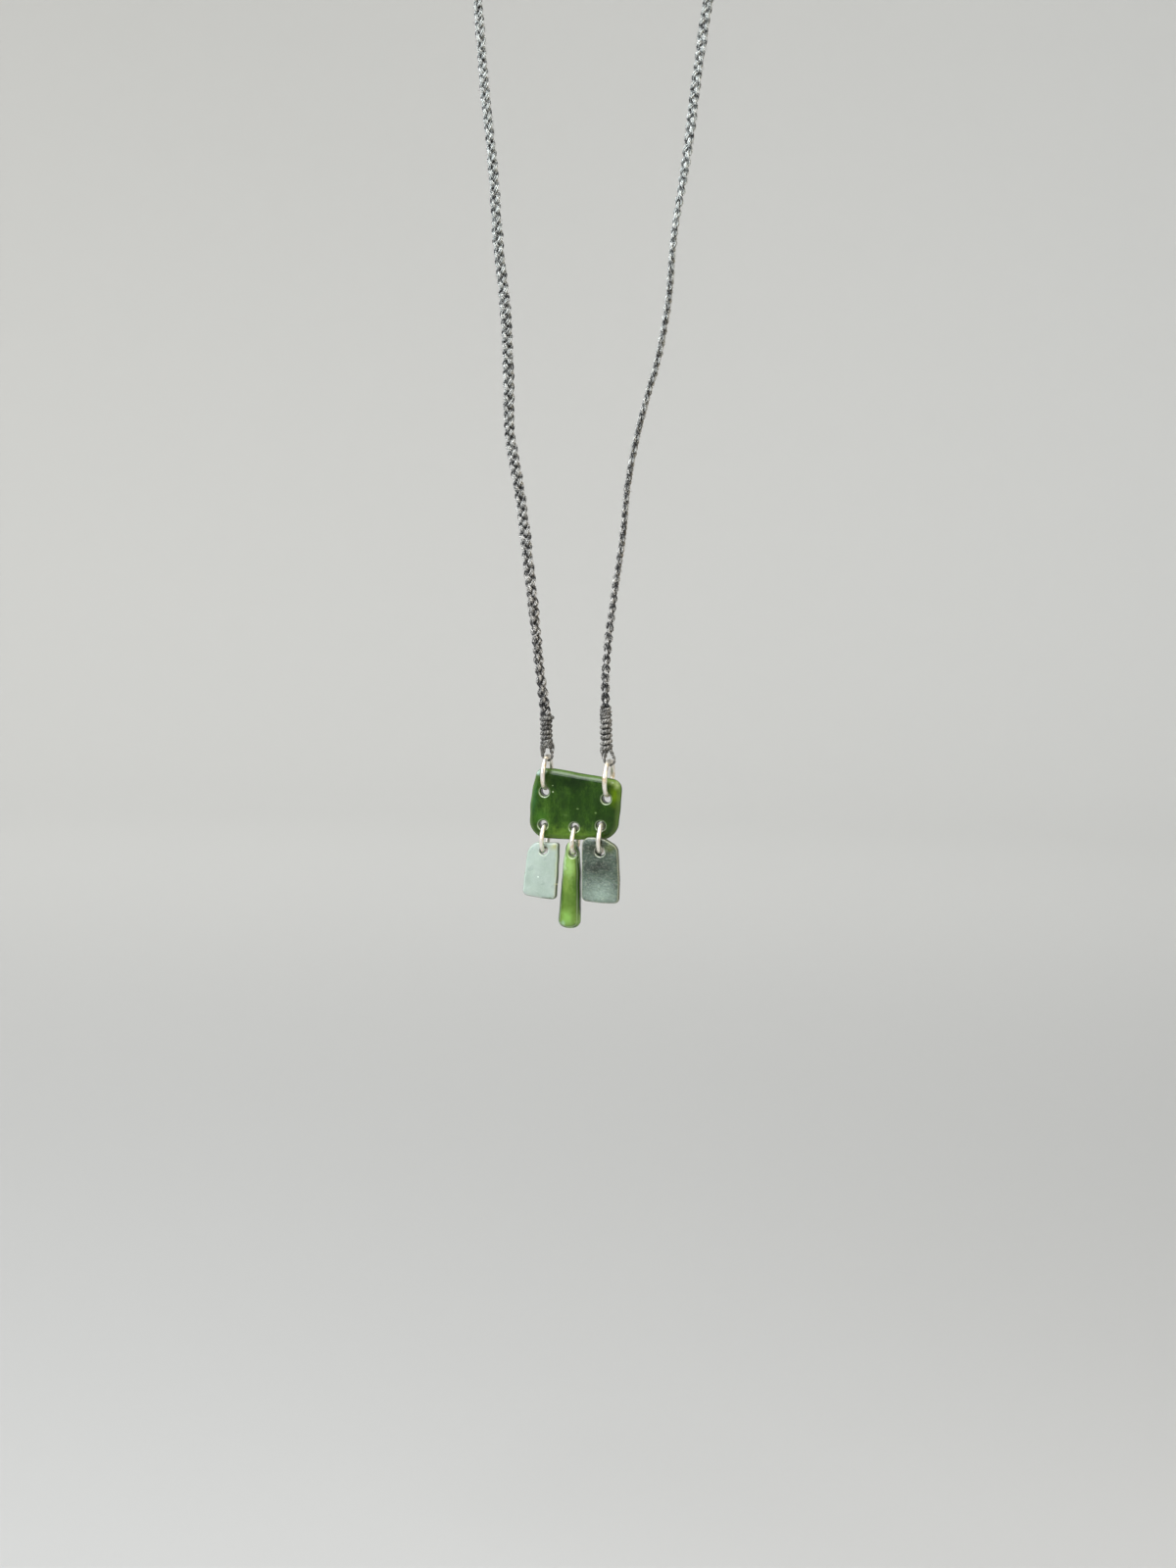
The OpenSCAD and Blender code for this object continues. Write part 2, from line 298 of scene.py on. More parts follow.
def fill(node: bpy.types.Node, inputs: dict | tuple) -> None:
    """Sets or links a node's inputs.

    Args:
        node: The node.
        inputs: A value, a hex colour or the socket to link from, in order or by name or number.
    """
    for name, value in inputs.items() if isinstance(inputs, dict) else enumerate(inputs):
        if isinstance(value, Socket):
            node.id_data.links.new(value, node.inputs[name])
        else:
            node.inputs[name].default_value = linear(value) if isinstance(value, str) else value


def add_node(
    tree: Tree,
    kind: str,
    inputs: dict | tuple = (),
    out: int | str = 0,
    ramp: tuple[tuple[float, str], ...] = (),
    **settings: object,
) -> Socket:
    """Adds a node with its settings, values and links.

    Args:
        tree: The material's node tree.
        kind: The node's type name, less its first word ShaderNode.
        inputs: What fill is to set or link.
        out: Which output is wanted, by number or name.
        ramp: Stops of a colour ramp, as place and hex colour.
        settings: Properties of the node.

    Returns:
        The wanted output.
    """
    node = tree.nodes.new("ShaderNode" + kind)
    for name, value in settings.items():
        setattr(node, name, value)
    for place, colour in ramp[2:]:
        node.color_ramp.elements.new(place)
    for stop, (place, colour) in zip(node.color_ramp.elements if ramp else (), ramp):
        stop.position, stop.color = place, linear(colour)
    fill(node, inputs)
    return node.outputs[out]


def new_material(name: str) -> tuple[Material, Tree, bpy.types.Node]:
    """A new node material.

    Args:
        name: What it is and how it was worked.

    Returns:
        The material, its tree and its one Principled shader.
    """
    material = bpy.data.materials.new(name)
    material.use_nodes = True
    tree = material.node_tree
    return material, tree, tree.nodes["Principled BSDF"]


@dataclass(frozen=True)
class Patch:
    """A soft-edged cloud or speck of another colour in a stone, in the stone's own millimetres.

    A patch with no depth goes right through the stone, and one with a depth lies round y. Some
    patches are painted highlights, painted shade or a painted reflection, as marked where the
    stones' finishes are listed.
    """

    x: float
    z: float
    wide: float
    high: float
    colour: str
    strength: float
    edge: float = 0.0
    over_rim: bool = False
    y: float = 0.0
    deep: float = 0.0


@dataclass(frozen=True)
class Jade:
    """Nephrite jade, sawn, ground and polished by hand.

    Its felted fibres give cloudy, slightly streaked colour that light sinks into, over a waxy gloss
    with the marks of the last grit. The rim colour along the outline is the paler thin edge on the
    plaque, a painted highlight on the two side drops and painted shade on the bar's bevels; the
    side walls carry painted shade, and the face's edge line and the hole mouths carry painted
    highlights.
    """

    name: str
    cloud: tuple[tuple[float, str], ...]
    # rim: the rim colour, the paler thin edge on the plaque, a painted highlight on the side drops
    # and painted shade on the bar's bevels
    rim: str
    rim_strength: float
    # wall: painted shade on the side walls; mouth: the colour of the painted highlights round the
    # hole mouths and along the face's edge; their strengths follow
    wall: str
    mouth: str
    wall_shade: float = 0.85
    mouth_highlight: float = 0.8
    arris_highlight: float = 0.0
    patches: tuple[Patch, ...] = ()
    cloud_mm: float = 3.5
    cloud_roughness: float = 0.62
    fibre_mm: float = 0.5
    fibre: float = 0.3
    streak: float = 2.5
    # How far a patch's edge wanders, as a share of its size, and the length of the wander
    wander: float = 0.7
    wander_mm: float = 1.25
    roughness: float = 0.3
    # The roughness of the best and the worst polished places, as shares of the usual
    wear: tuple[float, float] = (0.8, 1.25)
    wear_mm: float = 2.0
    specular: float = 0.5
    coat: float = 0.0
    coat_roughness: float = 0.12
    ior: float = 1.61
    sink: float = 0.12
    sink_mm: float = 0.8
    grit_mm: float = 0.35
    grit_height_mm: float = 0.01
    pebble_mm: float = 0.0
    pebble_height_mm: float = 0.0
    # How strongly the pebbles' relief tints the colour: painted light toward the rim colour on
    # their high parts, painted shade toward the wall colour in their low parts
    pebble_painted_shading: float = 0.0
    scratch: float = 0.0
    scratch_slant: float = 38.0

    def cloudy(self, tree: Tree, at: Socket) -> Socket:
        """The stone's colour before its rim and patches: a ramp over stretched noise.

        Args:
            tree: The material's node tree.
            at: The socket with the place in the stone.

        Returns:
            The colour socket.
        """
        layers = []
        for size, detail, streak in (
            (self.cloud_mm, 6.0, self.streak),
            (self.fibre_mm, 3.0, 0.7 + 0.3 * self.streak),
        ):
            drawn = add_node(tree, "Mapping", {"Vector": at, "Scale": (1, 1, 1 / streak)})
            noise = {"Vector": drawn, "Scale": 1 / size, "Detail": detail}
            noise["Roughness"] = self.cloud_roughness
            layers.append(add_node(tree, "TexNoise", noise))
        share = (layers[1], self.fibre, -0.5 * self.fibre)
        finer = add_node(tree, "Math", share, operation="MULTIPLY_ADD")
        both = add_node(tree, "Math", (layers[0], finer), operation="ADD")
        return add_node(tree, "ValToRGB", (both,), ramp=self.cloud)

    def patched(
        self, tree: Tree, at: Socket, colour: Socket, over_rim: bool
    ) -> Socket:
        """Lays each patch over the colour: its share falls with the distance from its middle.

        Args:
            tree: The material's node tree.
            at: The socket with the place in the stone.
            colour: The colour socket so far.
            over_rim: Which patches: those that lie over the rim, or the others.

        Returns:
            The colour socket with the patches on it.
        """
        noise = {"Vector": at, "Scale": 1 / self.wander_mm, "Detail": 3.0}
        way = add_node(tree, "TexNoise", noise, 1)
        loose = add_node(tree, "VectorMath", (way, (0.5, 0.5, 0.5)), operation="SUBTRACT")
        for patch in (p for p in self.patches if p.over_rim == over_rim):
            reach = self.wander * (patch.wide + patch.high) / 2
            drift = add_node(tree, "VectorMath", {0: loose, 3: reach}, operation="SCALE")
            moved = add_node(tree, "VectorMath", (at, drift), operation="ADD")
            thin = 1 / patch.deep if patch.deep else 0
            middle = (-patch.x / patch.wide, -patch.y * thin, -patch.z / patch.high)
            scale = (1 / patch.wide, thin, 1 / patch.high)
            flat = add_node(
                tree, "Mapping", {"Vector": moved, "Location": middle, "Scale": scale}
            )
            away = add_node(tree, "VectorMath", (flat,), 1, operation="LENGTH")
            fall = (away, 1.0, patch.edge, 0.0, patch.strength)
            share = add_node(tree, "MapRange", fall, interpolation_type="SMOOTHSTEP")
            layers = {0: share, 6: colour, 7: patch.colour}
            colour = add_node(tree, inputs=layers, **COLOUR_MIX)
        return colour

    def pebbles(self, tree: Tree, at: Socket) -> Socket:
        """Worn, leathery relief: soft noise drawn out sideways and pulled about by itself.

        Args:
            tree: The material's node tree.
            at: The socket with the place in the stone.

        Returns:
            The height socket.
        """
        drawn = add_node(tree, "Mapping", {"Vector": at, "Scale": (0.8, 1, 1.15)})
        noise = {"Vector": drawn, "Scale": 1 / self.pebble_mm, "Detail": 2.0, "Distortion": 0.3}
        return add_node(tree, "TexNoise", noise)

    def relief(self, tree: Tree, at: Socket) -> Socket:
        """The bump: polishing grit, and where the stone has them, pebbles and fine scratches.

        Args:
            tree: The material's node tree.
            at: The socket with the place in the stone.

        Returns:
            The normal socket.
        """
        grit = add_node(
            tree, "TexNoise", {"Vector": at, "Scale": 1 / self.grit_mm, "Detail": 4.0}
        )
        layers = [(grit, self.grit_height_mm)]
        if self.pebble_mm:
            layers.append((self.pebbles(tree, at), self.pebble_height_mm))
        if self.scratch:
            slant = (0, math.radians(self.scratch_slant), 0)
            drawn = {"Vector": at, "Rotation": slant, "Scale": (9, 1, 0.45)}
            lines = add_node(tree, "Mapping", drawn)
            fine = add_node(tree, "TexNoise", {"Vector": lines, "Scale": 1.0, "Detail": 5.0})
            layers.append((fine, self.scratch))
        below = {}
        for height, size in layers:
            bump = {"Height": height, "Strength": 1.0, "Distance": size * MM, **below}
            below = {"Normal": add_node(tree, "Bump", bump)}
        return below["Normal"]

    def build(self) -> Material:
        """Makes the material.

        Returns:
            The material: cloud, pebbles and edges with painted light and shade, and specks, each
                laid over the last.
        """
        material, tree, shader = new_material(self.name)
        at = add_node(tree, "Attribute", out="Vector", attribute_name="stone")
        colour = self.patched(tree, at, self.cloudy(tree, at), over_rim=False)
        tints = []
        # Painted light and shade on the pebbles: high parts take the rim colour, low parts the wall
        # colour
        if self.pebble_painted_shading:
            height, steep = self.pebbles(tree, at), self.pebble_painted_shading
            for slope, tint in ((steep, self.rim), (-steep, self.wall)):
                tints.append(((height, slope, -0.5 * slope), tint))
        # The rim colour, then painted highlights along the face's edge, painted shade on the side
        # walls and painted highlights round the hole mouths
        for mark, strength, tint in (
            ("rim", self.rim_strength, self.rim),
            ("arris_highlight", self.arris_highlight, self.mouth),
            ("wall", self.wall_shade, self.wall),
            ("mouth", self.mouth_highlight, self.mouth),
        ):
            if strength:
                here = add_node(tree, "Attribute", out="Fac", attribute_name=mark)
                tints.append(((here, strength, 0.0), tint))
        for line, tint in tints:
            share = add_node(tree, "Math", line, operation="MULTIPLY_ADD", use_clamp=True)
            colour = add_node(tree, inputs={0: share, 6: colour, 7: tint}, **COLOUR_MIX)
        colour = self.patched(tree, at, colour, over_rim=True)
        patchy = {"Vector": at, "Scale": 1 / self.wear_mm, "Detail": 5.0}
        worn = add_node(tree, "TexNoise", patchy)
        dull = (worn, 0.3, 0.7, *(self.roughness * share for share in self.wear))
        fill(shader, {
            "Base Color": colour,
            "Roughness": add_node(tree, "MapRange", dull),
            "Normal": self.relief(tree, at),
            "IOR": self.ior,
            "Specular IOR Level": self.specular,
            "Subsurface Weight": self.sink,
            "Subsurface Radius": (0.5, 1.0, 0.35),
            "Subsurface Scale": self.sink_mm * MM,
            "Coat Weight": self.coat,
            "Coat Roughness": self.coat_roughness,
        })
        return material


@dataclass(frozen=True)
class Wire:
    """Gold-filled jewellery wire, drawn and bent by hand.

    It is bright and pale with a warm tinge, slightly tarnished in clouds, with faint lines from the
    drawing die round the wire.
    """

    name: str = "pale_gold_wire"
    bright: str = "#fffaf0"
    tarnish: str = "#dcc8a0"
    tarnish_mm: float = 1.6
    roughness: float = 0.34
    die_mark_mm: float = 0.006

    def build(self) -> Material:
        """Makes the material.

        Returns:
            The material: tarnish from noise in space, die marks along the wire's own UV.
        """
        material, tree, shader = new_material(self.name)
        at = add_node(tree, "TexCoord", out="Object")
        size = 1 / (self.tarnish_mm * MM)
        cloud = add_node(tree, "TexNoise", {"Vector": at, "Scale": size, "Detail": 4.0})
        dull = (cloud, 0.35, 0.6, self.roughness * 1.8, self.roughness)
        drawn = add_node(tree, "UVMap", uv_map="along")
        lines = add_node(tree, "Mapping", {"Vector": drawn, "Scale": (60, 0.4, 1)})
        dents = add_node(tree, "TexNoise", {"Vector": lines, "Scale": 1.0, "Detail": 2.0})
        bump = {"Height": dents, "Strength": 1.0, "Distance": self.die_mark_mm * MM}
        ramp = ((0.32, self.tarnish), (0.5, self.bright))
        fill(shader, {
            "Base Color": add_node(tree, "ValToRGB", (cloud,), ramp=ramp),
            "Roughness": add_node(tree, "MapRange", dull),
            "Normal": add_node(tree, "Bump", bump),
            "Metallic": 1.0,
        })
        return material


@dataclass(frozen=True)
class Yarn:
    """Waxed linen yarn, spun from fine fibres.

    Painted glints of single fibres run in slanting lines along each ply; the tone mark, which
    carries painted shade in the hollows and painted highlights on the high points, mixes dark to
    light, mottled by dust, and changes from ply to ply. Higher up, the light colour turns paler and
    cooler: painted light from above.
    """

    name: str
    dark: str
    light: str
    # The colour of the painted glints on the fibres, then the painted light from above on the
    # higher parts
    painted_glint: str
    lit_from_above: str
    spin: float = 0.9
    lines: float = 2.0
    shine: float = 0.9
    sheen: float = 0.25
    # How strongly dust mottles the yarn, and bends its fibres' lines
    mottle: float = 1.8
    bend: float = 0.45
    dust_mm: float = 0.4
    relief_mm: float = 0.05
    roughness: float = 0.5
    # Heights in metres between which the light colour turns to the painted light from above
    lit_from_above_heights: tuple[float, float] = (-0.215, -0.13)

    def build(self) -> Material:
        """Makes the material.

        Returns:
            The material: painted glints in sin^2 lines that slant over the UV, toned by dust and
                the mark tone, which carries painted light and shade, and paler higher up as painted
                light from above.
        """
        material, tree, shader = new_material(self.name)
        uv = add_node(tree, "SeparateXYZ", (add_node(tree, "UVMap", uv_map="along"),))
        at = add_node(tree, "TexCoord", out="Object")
        grain = {"Vector": at, "Scale": 1 / (self.dust_mm * MM), "Detail": 5.0}
        dust = add_node(tree, "TexNoise", grain)
        line = {"operation": "MULTIPLY_ADD"}
        slant = add_node(tree, "Math", (uv.node.outputs[1], self.spin, uv), **line)
        bent = add_node(tree, "Math", (dust, self.bend, slant), **line)
        phase = add_node(tree, "Math", (bent, self.lines * TAU), operation="MULTIPLY")
        wave = add_node(tree, "Math", (phase,), operation="SINE")
        fibre = add_node(tree, "Math", (wave, 0.5, 0.5), **line)
        tone = add_node(tree, "Attribute", out="Fac", attribute_name="tone")
        mottle = add_node(tree, "Math", (dust, self.mottle, -self.mottle / 2), **line)
        share = add_node(tree, "Math", (tone, mottle), operation="ADD", use_clamp=True)
        place = add_node(tree, "SeparateXYZ", (at,), 2)
        higher = add_node(tree, "MapRange", (place, *self.lit_from_above_heights, 0.0, 1.0))
        # Painted light from above: higher up the light colour turns paler and cooler
        pale = add_node(tree, inputs={0: higher, 6: self.light, 7: self.lit_from_above}, **COLOUR_MIX)
        body = add_node(tree, inputs={0: share, 6: self.dark, 7: pale}, **COLOUR_MIX)
        # Painted glints: sharpened fibre lines push the colour toward the glints' colour where the
        # tone is light
        sharp = add_node(tree, "Math", (fibre, 2.0), operation="POWER")
        bright = add_node(tree, "Math", (sharp, share), operation="MULTIPLY")
        glint_share = add_node(tree, "Math", (bright, self.shine), operation="MULTIPLY", use_clamp=True)
        height = add_node(tree, "Math", (dust, 0.8, fibre), **line)
        bump = {"Height": height, "Strength": 1.0, "Distance": self.relief_mm * MM}
        fill(shader, {
            "Base Color": add_node(tree, inputs={0: glint_share, 6: body, 7: self.painted_glint}, **COLOUR_MIX),
            "Normal": add_node(tree, "Bump", bump),
            "Roughness": self.roughness,
            "Sheen Weight": self.sheen,
            "Sheen Roughness": 0.4,
        })
        return material


def dressed(
    piece: Piece, finish: Material, body: Body, slot: Slot, *nodes: str
) -> Piece:
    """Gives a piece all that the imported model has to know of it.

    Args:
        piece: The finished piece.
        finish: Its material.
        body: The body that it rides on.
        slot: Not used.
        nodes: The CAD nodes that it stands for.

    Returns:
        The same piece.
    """
    piece.data.materials.clear()
    piece.data.materials.append(finish)
    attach(piece, body.value)
    if nodes:
        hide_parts(*nodes)
    log.info("%s: %d faces", piece.name, len(piece.data.polygons))
    return piece


# The cord


@dataclass
class Whipping:
    """Thread wound tight over the folded end of the braid, in the whipping's own frame.

    Its own +Z runs up its axis from its foot.
    """

    side: str
    tip: tuple[float, float]
    lean: float
    length: float
    seed: int
    wraps: int = 6
    outer: float = 1.42
    thread_r: float = 0.48
    ply_r: float = 0.4
    ply_twist: float = 4.6
    loose_wrap: float = 0.0
    messy_turns: float = 0.0
    messy_r: float = 0.26
    tone: float = 0.42
    start: float = 200.0
    points: int = 420
    sides: int = 8

    @property
    def up(self) -> Array:
        """The way the axis points, from the foot to the braid."""
        return turn_y(self.lean) @ UP

    @property
    def foot(self) -> Array:
        """The lower end of the axis."""
        return np.array([self.tip[0], 0.0, self.tip[1]]) - self.up * self.length

    def thread(self) -> Surface:
        """Three plies that twist round a helix.

        The helix is (r cos t, r sin t, h) with h growing by one thread for each turn. A ply is
        offset from it by its own helix in the plane of the radius and the axis. The last turn can
        stand away from the core on the right.

        Returns:
            The plies.
        """
        pitch = (self.length - 2 * self.thread_r) / (self.wraps - 1)
        turns = self.wraps - 0.35
        t = np.linspace(-0.3, turns, self.points)
        angle = TAU * t + math.radians(self.start)
        low = 0.8 * self.thread_r
        height = np.clip(self.thread_r + pitch * (t - 0.15), low, self.length - low)
        slack = self.loose_wrap * np.clip(t - turns + 1.2, 0, 1) * np.clip(np.cos(angle), 0, 1)
        radius = self.outer - self.thread_r + 0.05 * waves(t, 1.3, self.seed) + slack
        out = np.stack([np.cos(angle), np.sin(angle), np.zeros_like(t)], -1)
        core = out * radius[:, None] + UP * height[:, None]
        length = t * TAU * (self.outer - self.thread_r)
        ply = TAU * np.arange(3)[:, None] / 3
        twist = TAU * length / self.ply_twist + ply + 0.4 * waves(length, 9, self.seed + 1)
        lines = wound(core, out, UP, twist, self.thread_r - self.ply_r)
        thick = self.ply_r * (1 + 0.08 * waves(length, 2.0, self.seed + 2))
        # Tone: a random wander, and painted light and shade by cos twist, lighter where a ply faces
        # out and darker where it turns in
        tone = self.tone + 0.2 * waves(length, 6, self.seed + 3) + 0.22 * np.cos(twist)
        return tubes(lines, thick, UP, self.sides, {"tone": tone})

    def messy(self) -> Surface:
        """Loose turns of yarn round the end of the braid, above the whipping.

        They climb a wandering helix: its radius and its height each wander by a quarter of a
        millimetre.

        Returns:
            Two yarns side by side.
        """
        t = np.linspace(0, self.messy_turns, 150)
        yarn = np.arange(2)[:, None]
        angle = TAU * t + math.radians(150) + 0.5 * yarn
        height = self.length - 0.1 + 0.85 * t + 0.25 * waves(t + 3 * yarn, 0.9, self.seed + 7)
        radius = 1.12 + 0.14 * waves(t + 5 * yarn, 0.7, self.seed + 8) - 0.06 * t
        x, y = radius * np.cos(angle), 0.85 * radius * np.sin(angle)
        tone = 0.45 + 0.35 * waves(TAU * t + 4 * yarn, 3, self.seed + 9)
        thick = self.messy_r * (1 + 0.15 * waves(TAU * t + 2 * yarn, 2, self.seed + 6))
        return tubes(np.stack([x, y, height + 0.28 * yarn], -1), thick, UP, 7, {"tone": tone})

    def core(self) -> Surface:
        """The braid's folded end under the thread.

        Returns:
            A short turned plug whose ends are rounded by the root of a sine.
        """
        a = np.linspace(0, math.pi, 17)
        radius = (self.outer - 1.3 * self.thread_r) * np.sqrt(np.sin(a)).clip(0.05)
        plug = lathe(radius, self.length * (0.5 - 0.5 * np.cos(a)), 24)
        plug.uv = np.zeros((sum(map(len, plug.faces)), 2))
        # Nearly black: painted shade in the gaps between the wraps
        plug.marks["tone"] = np.full(len(plug.corners), 0.08)
        return plug

    def build(self, finish: Material) -> Piece:
        """Makes the whipping, which stands for its CAD node.

        Args:
            finish: Its thread's material.

        Returns:
            The piece.
        """
        name = f"whipping_{self.side}"
        parts = [self.thread(), self.core()] + ([self.messy()] if self.messy_turns else [])
        surface = joined(parts).placed(turn_y(self.lean), self.foot)
        return dressed(surface.made(name + "_thread"), finish, Body.CORD, Slot.THREAD, name)


@dataclass
class ThreadEye:
    """A loop of two-ply thread below a whipping, in the plane of both eyes."""

    side: str
    x: float
    foot_r: float
    apex: tuple[float, float]
    seed: int
    thread_r: float = 0.29
    twist: float = 2.1
    swell: float = 0.9
    points: int = 60
    sides: int = 8

    def line(self) -> Array:
        """The loop's centreline: down one leg, round the foot's arc, and up the other.

        The legs are the two tangents from the apex to the foot's circle.

        Returns:
            Its points in the plane of both eyes.
        """
        centre = np.array([self.x, self.foot_r])
        reach = np.array(self.apex) - centre
        far = np.linalg.norm(reach)
        touch = math.asin(self.foot_r / far)
        lean = math.atan2(reach[0], reach[1])
        arc = np.linspace(math.pi - touch, TAU + touch, self.points)
        foot = np.stack([np.cos(arc), np.sin(arc)], -1) * self.foot_r
        up = np.linspace(0.04, 0.92, self.points // 2)[:, None]
        left, right = (foot[i] + (np.array([0.0, far]) - foot[i]) * up for i in (0, -1))
        x, z = np.concatenate([left[::-1], foot, right]).T
        c, s = math.cos(lean), math.sin(lean)
        x, z = x * c + z * s + centre[0], -x * s + z * c + centre[1]
        return np.stack([x, np.zeros(len(x)), z], -1)

    def surface(self) -> Surface:
        """Two plies wound round the loop's centreline, fuller towards the whipping.

        Returns:
            The plies, in the plane of both eyes.
        """
        core = self.line()
        side = np.cross(unit(np.gradient(core, axis=0)), THROUGH)
        length = distances(core)
        ply = math.pi * np.arange(2)[:, None]
        fuller = 1 + self.swell * np.clip(core[:, 2] / self.apex[1] - 0.15, 0, 1)
        twist = TAU * length / self.twist + ply
        lines = wound(core, side, THROUGH, twist, self.thread_r * 0.46 * fuller)
        thick = self.thread_r * fuller * (0.56 + 0.05 * waves(length, 2.5, self.seed))
        tone = 0.55 + 0.3 * waves(length + 3 * ply, 2.5, self.seed + 1)
        return tubes(lines, thick, THROUGH, self.sides, {"tone": tone})

    def build(self, finish: Material) -> Piece:
        """Makes the eye, which stands for its CAD node.

        Args:
            finish: Its thread's material.

        Returns:
            The piece.
        """
        name = f"eye_{self.side}"
        surface = self.surface().placed(turn_y(EYE_LINE_TILT), EYES)
        return dressed(surface.made(name + "_thread"), finish, Body.CORD, Slot.THREAD, name)


@dataclass
class Frays:
    """Short ends of yarn that stick out below a whipping, round the legs of its eye."""

    whipping: Whipping
    count: int
    reach: tuple[float, float]
    spread: float
    ring_x: float
    seed: int
    clear: float = 1.0
    yarn_r: float = 0.15

    def surface(self) -> Surface:
        """Each end leaves the foot at its own angle and bends in or out along a parabola.

        At share q of its length it is at r0 + bend * q * (1 - q) + spread * q out from the axis.
        Most ends lie along the two legs of the eye, and those in the jump ring's way are short.

        Returns:
            The ends, in the whipping's own frame.
        """
        draw = np.random.default_rng(self.seed)
        q = np.linspace(0, 1, 9)
        one = (self.count, 1)
        angle = draw.choice([0.0, math.pi], one) + draw.normal(0, 0.75, one)
        angle = angle + draw.uniform(-0.7, 0.7, one) * q
        out = draw.uniform(0.3, 1.2, one) + draw.uniform(-0.5, 0.9, one) * q * (1 - q) * 2
        out = out + draw.uniform(-0.5, self.spread, one) * q
        x, y = out * np.cos(angle), out * np.sin(angle)
        drop = draw.uniform(*self.reach, one) * q
        near = np.abs(x - self.ring_x) < 0.95
        allowed = np.where(near, self.clear / np.maximum(drop, 1e-6), np.inf).min(1, keepdims=True)
        lines = np.stack([x, y, 0.35 - drop * np.minimum(allowed, 1)], -1)
        thick = self.yarn_r * draw.uniform(0.7, 1.3, one) * (1.05 - 0.55 * q)
        tone = draw.uniform(0.25, 1.0, one)
        return tubes(lines, thick, np.array([0.31, 0.95, 0.0]), 6, {"tone": tone})

    def build(self, finish: Material) -> Piece:
        """Makes the frayed ends.

        Args:
            finish: Their thread's material.

        Returns:
            The piece, which stands for no CAD node.
        """
        surface = self.surface().placed(turn_y(self.whipping.lean), self.whipping.foot)
        piece = surface.made(f"frays_{self.whipping.side}")
        return dressed(piece, finish, Body.CORD, Slot.THREAD)


